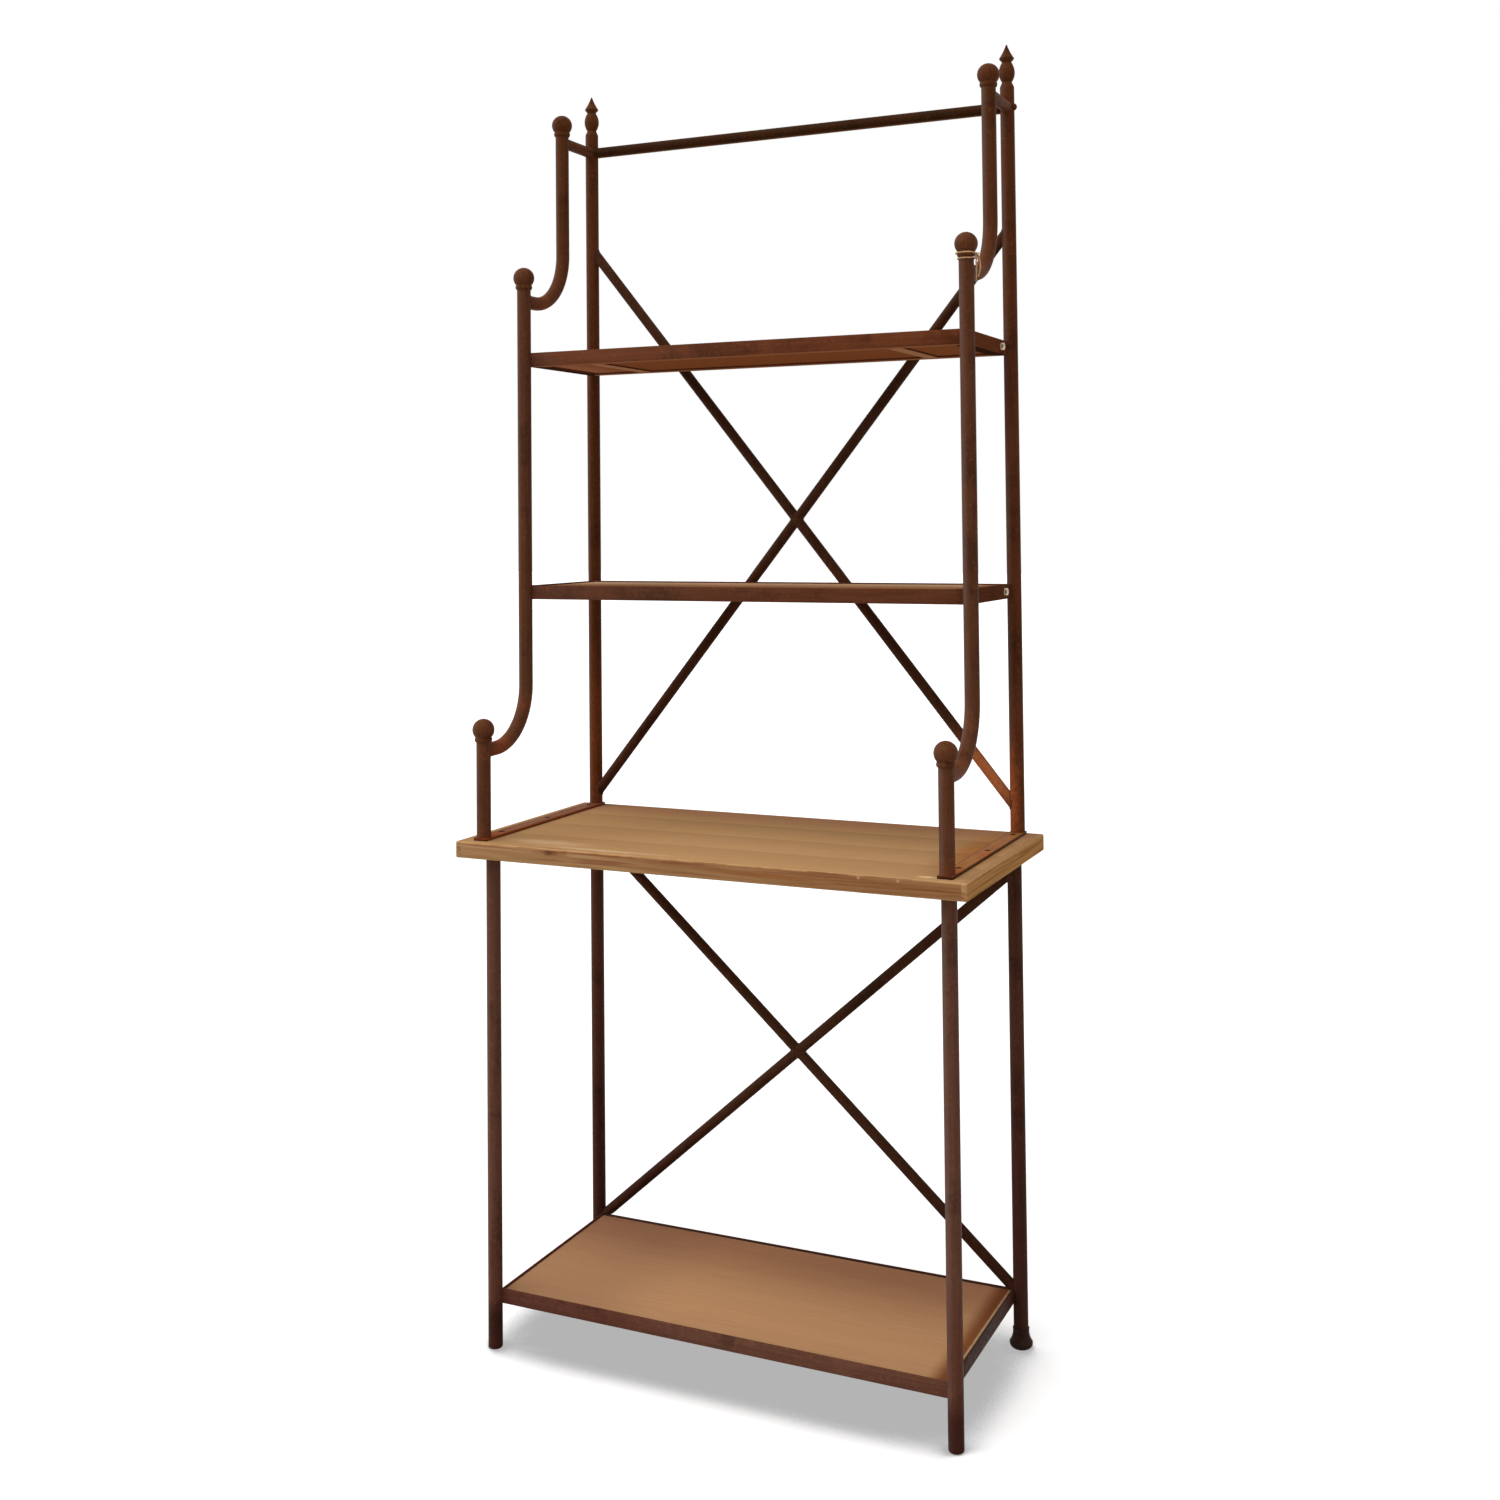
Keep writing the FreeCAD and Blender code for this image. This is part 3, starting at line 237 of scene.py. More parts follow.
class RackStudio(bpy.types.PropertyGroup):
    """The plain studio that the rack is shown in."""

    camera_place: FloatVectorProperty(name="Camera", description="Where the camera stands",
                                      default=(1.2743, -2.7978, 1.4507), subtype="TRANSLATION",
                                      unit="LENGTH", size=3)
    camera_yaw: FloatProperty(name="Camera yaw", description="Turn to the left from straight on",
                              default=math.radians(24.94), subtype="ANGLE")
    camera_pitch: FloatProperty(name="Camera pitch", description="Tilt above the level",
                                default=math.radians(1.86), subtype="ANGLE")
    camera_roll: FloatProperty(name="Camera roll", description="Turn about the line of sight",
                               default=math.radians(-0.532), subtype="ANGLE")
    lens: FloatProperty(name="Lens", description="Focal length in millimetres", default=41.55,
                        min=1.0)
    shift_x: FloatProperty(name="Shift across", description="Sideways shift of the view",
                           default=0.0112)
    shift_y: FloatProperty(name="Shift up", description="Upward shift of the view",
                           default=-0.1915)
    key: amount("Key light", "Strength of the broad light overhead", 1.9, 10.0)
    front: amount("Front light", "Strength of the soft light from the front left", 0.60, 10.0)
    fill: amount("Fill light", "Strength of the soft light from the right", 0.14, 10.0)
    sky: amount("Surroundings", "Strength of the even light all round", 0.30, 10.0)
    floor_bounce: amount("Floor bounce", "How much light the floor sends back up", 0.55)
    floor_white: amount("Floor white", "How white the floor is as it is seen", 0.95)
    floor_glow: amount("Floor glow", "Tone of the floor's deepest shadow as it is seen", 0.456)
    shadow_reach: length("Shadow reach", "How far the floor looks up for what stands over it", 0.30)
    shadow_full: amount("Shadow, full", "Open share of the sky at which the shadow is full", 0.54)
    shadow_none: amount("Shadow, none", "Open share of the sky at which the shadow ends", 0.79)
    floor_size: length("Floor size", "Half the width of the floor", 40.0)


# ---------------------------------------------------------------- node trees


def node(tree, kind, inputs=None, **settings):
    """Add a node, set it up, and give each named input a number or a link."""
    made = tree.nodes.new(kind)
    for name, value in settings.items():
        setattr(made, name, value)
    for key, value in (inputs or {}).items():
        if isinstance(value, bpy.types.NodeSocket):
            tree.links.new(value, made.inputs[key])
        else:
            made.inputs[key].default_value = value
    return made


def calc(tree, operation, *terms, clamp=False):
    """A calculation with one, two or three terms, as a Math node."""
    made = node(tree, "ShaderNodeMath", dict(enumerate(terms)), operation=operation,
                use_clamp=clamp)
    return made.outputs[0]


def vector_calc(tree, operation, *terms):
    """A calculation with one or two vectors, as a Vector Math node."""
    made = node(tree, "ShaderNodeVectorMath", dict(enumerate(terms)), operation=operation)
    return made.outputs["Value" if operation in ("DOT_PRODUCT", "LENGTH") else "Vector"]


def parts_of(tree, vector):
    """The X, Y and Z parts of a vector."""
    return node(tree, "ShaderNodeSeparateXYZ", {0: vector}).outputs


def blend_colours(tree, share, first, second, mode="MIX"):
    """Mix two colours by a share."""
    made = node(tree, "ShaderNodeMix", data_type="RGBA", blend_type=mode)
    for index, value in ((0, share), (6, first), (7, second)):
        if isinstance(value, bpy.types.NodeSocket):
            tree.links.new(value, made.inputs[index])
        elif index:
            made.inputs[index].default_value = (*value[:3], 1.0)
        else:
            made.inputs[index].default_value = value
    return made.outputs[2]


def spread(tree, value, low, high, to_low=0.0, to_high=1.0, smooth=True):
    """Stretch the part of a value between low and high."""
    made = node(tree, "ShaderNodeMapRange", {0: value, 1: low, 2: high, 3: to_low, 4: to_high},
                interpolation_type="SMOOTHSTEP" if smooth else "LINEAR")
    return made.outputs[0]


def noise(tree, vector, scale, detail=3.0, roughness=0.55, distortion=0.0):
    """A cloudy value between 0 and 1."""
    made = node(tree, "ShaderNodeTexNoise", {"Vector": vector, "Scale": scale, "Detail": detail,
                                             "Roughness": roughness, "Distortion": distortion})
    return made.outputs[0]


def stretched(tree, vector, scale):
    """A vector multiplied by three factors."""
    return vector_calc(tree, "MULTIPLY", vector, scale)


def built_once(name):
    """Build a tree under a name once: asked for again, the same tree is given."""
    def keep(build):
        @functools.wraps(build)
        def give():
            return bpy.data.node_groups.get(name) or build(name)
        return give
    return keep


def new_tree(name, kind, inputs, outputs):
    """An empty tree with named inputs and outputs."""
    tree = bpy.data.node_groups.new(name, kind)
    for label, socket_kind, default in inputs:
        socket = tree.interface.new_socket(label, in_out="INPUT", socket_type=socket_kind)
        if default is not None:
            socket.default_value = default
    for label, socket_kind in outputs:
        tree.interface.new_socket(label, in_out="OUTPUT", socket_type=socket_kind)
    return tree, tree.nodes.new("NodeGroupInput").outputs, tree.nodes.new("NodeGroupOutput").inputs


def shader_group(name, inputs, outputs):
    """An empty shader group with named inputs and outputs."""
    return new_tree(name, "ShaderNodeTree", inputs, outputs)


def tidy_nodes(tree):
    """Lay a tree's nodes out in rows, so that they can be read."""
    column, row, per_row = 220, 320, 8
    for number, item in enumerate(tree.nodes):
        item.location = (number % per_row * column, -(number // per_row) * row)


COLOUR = "NodeSocketColor"
FLOAT = "NodeSocketFloat"
VECTOR = "NodeSocketVector"
GEOMETRY = "NodeSocketGeometry"
MATERIAL = "NodeSocketMaterial"


@built_once("Aged Iron")
def aged_iron(name):
    """Mottled rust-brown finish: patches, worn places, a painted sheen toward the left front, rust and
    fine pits.
    """
    left_front = (-0.88, -0.48, 0.0)
    tree, given, result = shader_group(
        name,
        [("Vector", VECTOR, None), ("Normal", VECTOR, None), ("Body", COLOUR, None),
         ("Shade", COLOUR, None), ("Worn", COLOUR, None), ("Left Sheen", COLOUR, None),
         ("Rust", COLOUR, None), ("Warmth", FLOAT, 0.0), ("Left Sheen Amount", FLOAT, 0.5),
         ("Patch Scale", FLOAT, 11.0), ("Worn Amount", FLOAT, 0.5), ("Roughness", FLOAT, 0.5),
         ("Pit Scale", FLOAT, 420.0), ("Drawn Scale", VECTOR, (260.0, 260.0, 9.0))],
        [("Color", COLOUR), ("Roughness", FLOAT), ("Height", FLOAT)])
    place = given["Vector"]
    patches = noise(tree, place, given["Patch Scale"], 5.0, 0.6, 0.4)
    mottle = noise(tree, place, 130.0, 4.0, 0.65)
    pits = noise(tree, place, given["Pit Scale"], 3.0, 0.7)
    drawn = noise(tree, stretched(tree, place, given["Drawn Scale"]), 1.0, 3.0, 0.6)

    # Darker patches, worn and rubbed places, and faint lines from the rolling mill.
    shade = spread(tree, patches, 0.50, 0.68)
    worn = calc(tree, "MULTIPLY", spread(tree, mottle, 0.50, 0.72), given["Worn Amount"])
    wear_and_highlight = calc(tree, "MULTIPLY", spread(tree, patches, 0.47, 0.30), given["Worn Amount"])
    lighter = calc(tree, "MAXIMUM", worn, calc(tree, "MULTIPLY", wear_and_highlight, 0.6))
    paint = blend_colours(tree, calc(tree, "MULTIPLY", shade, 0.7), given["Body"], given["Shade"])
    paint = blend_colours(tree, lighter, paint, given["Worn"])
    lines = spread(tree, drawn, 0.35, 0.65, 0.88, 1.08)
    paint = blend_colours(tree, 1.0, paint, lines, "MULTIPLY")

    # A painted sheen, a pale highlight, on faces toward the left front.
    facing = vector_calc(tree, "DOT_PRODUCT", given["Normal"], left_front)
    left_sheen = calc(tree, "MULTIPLY", spread(tree, facing, 0.35, 1.0), given["Left Sheen Amount"])
    left_sheen = calc(tree, "MULTIPLY", left_sheen, spread(tree, patches, 0.36, 0.56, 0.55, 1.0))
    paint = blend_colours(tree, left_sheen, paint, given["Left Sheen"])

    # Warm rust in specks, and where it is asked for.
    specks = spread(tree, mottle, 0.56, 0.66)
    bloom = calc(tree, "ADD", given["Warmth"], calc(tree, "MULTIPLY", specks, 0.05))
    broken = calc(tree, "MULTIPLY", bloom, spread(tree, mottle, 0.28, 0.60, 0.55, 1.15), clamp=True)
    paint = blend_colours(tree, broken, paint, given["Rust"])
    tree.links.new(paint, result["Color"])

    # Rust is rougher and stands a little proud.
    rough = calc(tree, "ADD", given["Roughness"], spread(tree, mottle, 0.3, 0.7, -0.08, 0.14))
    rough = calc(tree, "ADD", rough, calc(tree, "MULTIPLY", broken, 0.25), clamp=True)
    tree.links.new(rough, result["Roughness"])
    height = calc(tree, "ADD", calc(tree, "MULTIPLY", pits, 0.5), calc(tree, "MULTIPLY", mottle, 0.5))
    tree.links.new(calc(tree, "ADD", height, calc(tree, "MULTIPLY", broken, 0.6)), result["Height"])
    tidy_nodes(tree)
    return tree


@built_once("Soft Place")
def soft_place(name):
    """A soft, ragged mask about a point, for rust that spreads from a weld and for marks."""
    tree, given, result = shader_group(
        name, [("Vector", VECTOR, None), ("Centre", VECTOR, None), ("Stretch", VECTOR, EVEN),
               ("Reach", FLOAT, 0.05), ("Strength", FLOAT, 1.0)], [("Mask", FLOAT)])
    away = vector_calc(tree, "SUBTRACT", given["Vector"], given["Centre"])
    far = vector_calc(tree, "LENGTH", stretched(tree, away, given["Stretch"]))
    ragged = calc(tree, "MULTIPLY", noise(tree, given["Vector"], 60.0, 3.0), 0.5)
    share = calc(tree, "ADD", calc(tree, "DIVIDE", far, given["Reach"]), ragged)
    mask = calc(tree, "MULTIPLY", spread(tree, share, 1.2, 0.35), given["Strength"])
    tree.links.new(mask, result["Mask"])
    tidy_nodes(tree)
    return tree


@built_once("Board Grain")
def board_grain(name):
    """Solid wood grain that runs along X: growth rings that bend round knots, fibres, streaks."""
    heart_depth = 0.80
    tree, given, result = shader_group(
        name,
        [("Vector", VECTOR, None), ("Board", FLOAT, 0.0), ("Ring Spacing", FLOAT, 0.006),
         ("Wander", FLOAT, 0.02)],
        [("Rings", FLOAT), ("Fibres", FLOAT), ("Streaks", FLOAT)])
    shift = node(tree, "ShaderNodeCombineXYZ", {0: calc(tree, "MULTIPLY", given["Board"], 1.73),
                                                1: calc(tree, "MULTIPLY", given["Board"], 0.61),
                                                2: calc(tree, "MULTIPLY", given["Board"], 0.37)})
    place = vector_calc(tree, "ADD", given["Vector"], shift.outputs[0])
    knot_cells = node(tree, "ShaderNodeTexVoronoi",
                      {"Vector": stretched(tree, place, (3.2, 9.0, 9.0)), "Scale": 1.0,
                       "Randomness": 1.0})
    warp = noise(tree, stretched(tree, place, (1.6, 8.0, 8.0)), 1.0, 2.0)
    ripple = noise(tree, stretched(tree, place, (7.0, 60.0, 60.0)), 1.0, 3.0)
    parts = parts_of(tree, place)
    across = calc(tree, "MULTIPLY", parts[Y], 0.55)
    deep = calc(tree, "SUBTRACT", parts[Z], heart_depth)
    squares = calc(tree, "ADD", calc(tree, "POWER", across, 2.0), calc(tree, "POWER", deep, 2.0))
    radius = calc(tree, "SQRT", squares)
    radius = calc(tree, "ADD", radius, calc(tree, "MULTIPLY", warp, given["Wander"]))
    radius = calc(tree, "ADD", radius, calc(tree, "MULTIPLY", ripple, 0.0022))
    bulge = calc(tree, "MULTIPLY", spread(tree, knot_cells.outputs["Distance"], 0.45, 0.0), 0.010)
    radius = calc(tree, "ADD", radius, bulge)
    ring = calc(tree, "FRACT", calc(tree, "DIVIDE", radius, given["Ring Spacing"]))
    late = calc(tree, "MULTIPLY", spread(tree, ring, 0.25, 0.88), spread(tree, ring, 1.0, 0.93))
    fibres = noise(tree, stretched(tree, place, (14.0, 900.0, 900.0)), 1.0, 3.0, 0.6)
    streaks = noise(tree, stretched(tree, place, (1.8, 38.0, 38.0)), 1.0, 4.0, 0.55)
    for value, label in ((late, "Rings"), (fibres, "Fibres"), (streaks, "Streaks")):
        tree.links.new(value, result[label])
    tidy_nodes(tree)
    return tree


# ---------------------------------------------------------------- finishes


def new_material(name):
    """A material with only its surface shader and output, and the object's own coordinates."""
    material = bpy.data.materials.new(name)
    material.use_nodes = True
    tree = material.node_tree
    tree.nodes.clear()
    surface = tree.nodes.new("ShaderNodeBsdfPrincipled")
    output = tree.nodes.new("ShaderNodeOutputMaterial")
    tree.links.new(surface.outputs[0], output.inputs["Surface"])
    return material, tree, surface, tree.nodes.new("ShaderNodeTexCoord").outputs


def bump(tree, surface, height, strength, distance):
    """Feed a height to a surface's normal."""
    made = node(tree, "ShaderNodeBump", {"Height": height, "Strength": strength,
                                         "Distance": distance})
    tree.links.new(made.outputs[0], surface.inputs["Normal"])


def opaque(rgb):
    """A colour with its alpha."""
    return (*rgb, 1.0)


def place_mask(tree, place, centre, stretch, reach, strength):
    """The mask of one soft, ragged place."""
    inputs = {"Vector": place, "Centre": centre, "Stretch": stretch, "Reach": reach,
              "Strength": strength}
    return node(tree, "ShaderNodeGroup", inputs, node_tree=soft_place()).outputs["Mask"]


def marked(tree, place, paint, marks):
    """A colour with marks of other colours on it, as (centre, stretch, reach, strength, colour)."""
    for *zone, tint in marks:
        paint = blend_colours(tree, place_mask(tree, place, *zone), paint, tint)
    return paint


def iron_finish(name, body, warmth=0.0, worn=0.5, left_sheen=0.5, patch_scale=11.0, gloss=0.0, zones=(),
                dent=0.00012, pit_scale=420.0, side=None, under=None, coats=(), marks=(),
                drawn=(260.0, 260.0, 9.0), shine=0.05):
    """Rust-brown iron of one body colour.

    zones are (centre, stretch, reach, strength) of warm rust.  side and under are other colours
    for upright faces and undersides; here they give painted shade on the right bar's sides and
    under the upper shelf's side rails, and painted light under the other hutch rails, the bearers
    and the rear rail.  coats are (axis, start, end, tint): the colour is slowly multiplied by the
    tint.  marks are (centre, stretch, reach, strength, colour).  drawn says how finely the lines of
    the rolling mill lie along each axis.
    """
    if name in bpy.data.materials:
        return bpy.data.materials[name]
    tints = bpy.context.scene.rack_finishes
    material, tree, surface, coords = new_material(name)
    for zone in zones:
        warmth = calc(tree, "MAXIMUM", warmth, place_mask(tree, coords["Object"], *zone))
    shaded_body = [part * 0.5 for part in body]
    worn_body = [part * 1.35 + 0.008 for part in body]
    iron = node(tree, "ShaderNodeGroup",
                {"Vector": coords["Object"], "Normal": coords["Normal"], "Body": opaque(body),
                 "Shade": opaque(shaded_body), "Worn": opaque(worn_body),
                 "Left Sheen": opaque(tints.iron_left_sheen), "Rust": opaque(tints.iron_rust),
                 "Warmth": warmth, "Left Sheen Amount": left_sheen, "Patch Scale": patch_scale,
                 "Worn Amount": worn,
                 "Roughness": tints.iron_gloss + gloss, "Pit Scale": pit_scale,
                 "Drawn Scale": drawn},
                node_tree=aged_iron())
    paint = iron.outputs["Color"]
    lift = parts_of(tree, coords["Normal"])[Z]
    if side is not None:
        upright = spread(tree, lift, 0.6, 0.2)
        paint = blend_colours(tree, calc(tree, "MULTIPLY", upright, 0.75), paint, side)
    if under is not None:
        paint = blend_colours(tree, spread(tree, lift, -0.8, -0.98), paint, under)
    parts = parts_of(tree, coords["Object"])
    for axis, start, end, tint in coats:
        paint = blend_colours(tree, spread(tree, parts[axis], start, end), paint, tint, "MULTIPLY")
    paint = marked(tree, coords["Object"], paint, marks)
    tree.links.new(paint, surface.inputs["Base Color"])
    tree.links.new(iron.outputs["Roughness"], surface.inputs["Roughness"])
    surface.inputs["Metallic"].default_value = 0.0
    surface.inputs["Specular IOR Level"].default_value = shine
    surface.inputs["Specular Tint"].default_value = (1.0, 0.72, 0.60, 1.0)
    bump(tree, surface, iron.outputs["Height"], 0.7, dent)
    tidy_nodes(tree)
    return material


def wood_finish(name, light, dark, contrast, turned=False, under=None, heights=None, coats=(),
                spots=()):
    """Dull wood with its grain along X, or along Y where it is turned.

    contrast is how strong the grain is on flat faces and on edges, under a stain for undersides,
    and heights the board's bottom and top, along whose edges a painted highlight is laid, broken
    here and there.  coats are (FLAT or EDGE, axis, start, end, tint): the colour of those faces is
    slowly multiplied by the tint.
    spots are (centre, stretch, reach, strength, colour).
    """
    if name in bpy.data.materials:
        return bpy.data.materials[name]
    tints = bpy.context.scene.rack_finishes
    material, tree, surface, coords = new_material(name)
    lift = parts_of(tree, coords["Normal"])[Z]
    parts = parts_of(tree, coords["Object"])
    flat = spread(tree, calc(tree, "ABSOLUTE", lift), 0.45, 0.80)
    edge = calc(tree, "SUBTRACT", 1.0, flat)
    place = coords["Object"]
    if turned:
        place = node(tree, "ShaderNodeMapping", {"Vector": place,
                                                 "Rotation": (0.0, 0.0, math.pi / 2)}).outputs[0]
    board = node(tree, "ShaderNodeAttribute", attribute_name="board",
                 attribute_type="GEOMETRY").outputs["Fac"]
    grain = node(tree, "ShaderNodeGroup", {"Vector": place, "Board": board},
                 node_tree=board_grain()).outputs

    # Late wood and broad streaks darken the light wood, fibres draw fine lines in it.
    flat_share, edge_share = contrast
    share = spread(tree, flat, 0.0, 1.0, edge_share, flat_share, smooth=False)
    soft = calc(tree, "MULTIPLY", spread(tree, grain["Streaks"], 0.36, 0.66, -0.5, 0.9), share)
    late = calc(tree, "MULTIPLY_ADD", grain["Rings"], share, soft, clamp=True)
    paint = blend_colours(tree, late, light, dark)
    fibres = spread(tree, grain["Fibres"], 0.3, 0.7, 0.93, 1.05)
    paint = blend_colours(tree, 1.0, paint, fibres, "MULTIPLY")

    # Red bands run along the edges.
    bands = noise(tree, stretched(tree, place, (4.0, 30.0, 210.0)), 1.0, 3.0, 0.6)
    red = calc(tree, "MULTIPLY", spread(tree, bands, 0.50, 0.66), calc(tree, "MULTIPLY", edge, 0.75))
    paint = blend_colours(tree, red, paint, tints.wood_streak)
    for faces, axis, start, end, tint in coats:
        drift = calc(tree, "MULTIPLY", spread(tree, parts[axis], start, end),
                     flat if faces == FLAT else edge)
        paint = blend_colours(tree, drift, paint, tint, "MULTIPLY")
    if under is not None:
        stained = spread(tree, lift, -0.3, -0.7)
        paint = blend_colours(tree, calc(tree, "MULTIPLY", stained, 0.95), paint, under)
    paint = marked(tree, coords["Object"], paint, spots)
    # A painted highlight along the board's long edges, where their rounding catches light.
    if heights is not None:
        paint = painted_edge_highlights(tree, place, parts[Z], lift, heights, paint, light)
    tree.links.new(paint, surface.inputs["Base Color"])
    tree.links.new(spread(tree, grain["Fibres"], 0.3, 0.7, 0.62, 0.51), surface.inputs["Roughness"])
    surface.inputs["Specular IOR Level"].default_value = 0.0
    height = calc(tree, "SUBTRACT", grain["Fibres"], calc(tree, "MULTIPLY", grain["Rings"], 0.5))
    bump(tree, surface, height, 0.3, 0.00012)
    tidy_nodes(tree)
    return material


def painted_edge_highlights(tree, place, height, lift, heights, paint, light):
    """A colour with a painted highlight along the board's long upper and lower edges, here and there.
    """
    bottom, top = heights
    near_edge = calc(tree, "MAXIMUM", spread(tree, height, top - 0.0045, top - 0.0008),
                     spread(tree, height, bottom + 0.004, bottom + 0.001))
    broken = noise(tree, stretched(tree, place, (22.0, 60.0, 60.0)), 1.0, 3.0)
    wear_and_highlight = calc(tree, "MULTIPLY", near_edge, spread(tree, broken, 0.35, 0.60, 0.15, 0.80))
    off_top = spread(tree, calc(tree, "ABSOLUTE", lift), 0.98, 0.85)
    return blend_colours(tree, calc(tree, "MULTIPLY", wear_and_highlight, off_top), paint,
                         [part * 1.30 for part in light])


def counter_wood(turned=False):
    """The counter's wood: calm on top, streaked along its edges, redder toward the right."""
    tints = bpy.context.scene.rack_finishes
    low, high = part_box("counter_plank_front")
    contrast = (0.05, 0.85)
    if turned:
        honey = ((high.x, 0.10, high.z - 0.012), (1.0, 0.5, 1.6), 0.016, 0.6, tints.wood_honey)
        # The end bands' coat pales the front edge at the right corner: a painted highlight.
        return wood_finish("counter_wood_across", tints.wood_light, tints.wood_dark, contrast,
                           turned=True, heights=(low.z, high.z), spots=[honey],
                           coats=[(EDGE, X, 0.4645, 0.4670, (1.22, 1.08, 0.84))])
    duller_rear = (FLAT, Y, 0.08, 0.22, (0.88, 0.78, 0.88))
    brighter_right = (FLAT, X, -0.35, 0.05, (1.11, 1.12, 1.14))
    redder_right = (EDGE, X, -0.40, 0.40, (0.76, 0.64, 0.59))
    paler_left = (EDGE, X, 0.30, -0.30, (1.07, 1.15, 1.23))
    left_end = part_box("counter_end_band_left")[0].x
    spots = [((0.405, 0.020, high.z), (1.5, 0.36, 1.0), 0.095, 0.95, tints.wood_gold),
             ((0.395, low.y + 0.022, high.z), (1.0, 1.8, 1.0), 0.024, 0.80, tints.wood_glint),
             ((-0.180, low.y + 0.020, high.z), (0.10, 1.6, 1.0), 0.018, 0.55, tints.wood_pale),
             ((-0.310, low.y + 0.050, high.z), (0.30, 1.3, 1.0), 0.040, 0.40, tints.wood_pale),
             ((left_end, low.y, high.z), (1.0, 0.20, 1.0), 0.008, 0.80, tints.wood_dark_corner)]
    front_edge = ((left_end, 0.010, (1.0, 1.0, 0.7), 0.018, 0.55, tints.wood_scuff),
                  (-0.270, 0.005, (0.40, 1.0, 2.2), 0.022, 0.70, tints.wood_streak),
                  (-0.276, 0.006, (0.60, 1.0, 1.5), 0.013, 0.95, tints.wood_knot),
                  (-0.175, 0.004, (0.12, 1.0, 5.0), 0.016, 0.90, tints.wood_streak),
                  (-0.030, 0.006, (0.16, 1.0, 4.0), 0.018, 0.80, tints.wood_streak),
                  (0.130, 0.015, (0.14, 1.0, 3.0), 0.022, 0.65, tints.wood_stain),
                  (0.250, 0.008, (0.12, 1.0, 4.0), 0.018, 0.60, tints.wood_streak),
                  (0.289, 0.005, EVEN, 0.004, 0.8, tints.wood_chip),
                  (0.355, 0.005, EVEN, 0.004, 0.8, tints.wood_chip))
    for x, depth, *rest in front_edge:
        spots.append(((x, low.y, high.z - depth), *rest))
    return wood_finish("counter_wood_along", tints.wood_light, tints.wood_dark, contrast,
                       heights=(low.z, high.z), spots=spots,
                       coats=[duller_rear, brighter_right, redder_right, paler_left])


def shelf_wood(shelf):
    """A shelf's wood: bare and pale on top, stained dark underneath."""
    tints = bpy.context.scene.rack_finishes
    low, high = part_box(f"{shelf}_panel")
    darker_rear = (FLAT, Y, -0.02, 0.16, (0.76, 0.68, 0.72))
    paler_rear = (FLAT, Y, 0.10, 0.16, (1.22, 1.45, 1.80))
    coats = [paler_rear if shelf == "middle_shelf" else darker_rear,
             (FLAT, X, 0.365, 0.398, (0.45, 0.30, 0.22)), (FLAT, X, -0.08, -0.28, (0.81, 0.80, 0.84)),
             (FLAT, Y, -0.08, -0.18, (0.88, 0.88, 0.90))]
    # A painted highlight along the panel's right end.
    spots = [((high.x - 0.002, 0.0, high.z), (1.0, 0.01, 1.0), 0.004, 0.8, tints.shelf_edge_highlight)]
    if shelf == "middle_shelf":
        coats.append((FLAT, Y, 0.12, 0.04, (0.56, 0.50, 0.52)))
    if shelf == "upper_shelf":
        # Painted light under the upper shelf's left end.
        spots.append(((low.x, 0.0, low.z), (1.0, 0.1, 1.0), 0.140, 0.95, tints.shelf_lit))
    return wood_finish(f"{shelf}_wood", tints.shelf_light, tints.shelf_dark, (0.10, 0.6),
                       under=tints.shelf_stain, coats=coats, spots=spots)


def plain_metal(name, tint, metallic, roughness, scratch_scale, strength, shine=0.5):
    """A small metal part with fine scratches and a slightly uneven tone."""
    if name in bpy.data.materials:
        return bpy.data.materials[name]
    material, tree, surface, coords = new_material(name)
    place = coords["Object"]
    scratches = noise(tree, stretched(tree, place, (1.0, 0.35, 1.0)), scratch_scale, 4.0, 0.7)
    cloud = noise(tree, place, 240.0, 3.0)
    paint = blend_colours(tree, spread(tree, cloud, 0.35, 0.68), tint, [part * 0.6 for part in tint])
    tree.links.new(paint, surface.inputs["Base Color"])
    surface.inputs["Metallic"].default_value = metallic
    surface.inputs["Specular IOR Level"].default_value = shine
    tree.links.new(spread(tree, scratches, 0.3, 0.7, roughness - 0.08, roughness + 0.12),
                   surface.inputs["Roughness"])
    bump(tree, surface, scratches, strength, 0.00005)
    tidy_nodes(tree)
    return material


def zinc_plate():
    """The bright plating of the lag screws and their washers."""
    return plain_metal("zinc_plate", bpy.context.scene.rack_finishes.zinc, 0.85, 0.34, 1400.0, 0.3)


def black_screw():
    """The dull black of the slotted screws."""
    return plain_metal("black_screw", bpy.context.scene.rack_finishes.screw, 0.0, 0.7, 1100.0, 0.5,
                       shine=0.0)


def twine_finish():
    """Fibrous twine: light and dark fibres that follow the strands."""
    if "twine_fibre" in bpy.data.materials:
        return bpy.data.materials["twine_fibre"]
    tints = bpy.context.scene.rack_finishes
    material, tree, surface, coords = new_material("twine_fibre")
    place = coords["Object"]
    fibres = noise(tree, place, 1500.0, 4.0, 0.7, 0.6)
    cloud = noise(tree, place, 160.0, 2.0)
    paint = blend_colours(tree, spread(tree, fibres, 0.32, 0.66), tints.twine_dark,
                          tints.twine_light)
    paint = blend_colours(tree, 1.0, paint, spread(tree, cloud, 0.3, 0.7, 0.82, 1.08), "MULTIPLY")
    tree.links.new(paint, surface.inputs["Base Color"])
    surface.inputs["Roughness"].default_value = 0.9
    surface.inputs["Sheen Weight"].default_value = 0.25
    bump(tree, surface, fibres, 0.8, 0.0002)
    tidy_nodes(tree)
    return material


# ---------------------------------------------------------------- making pieces


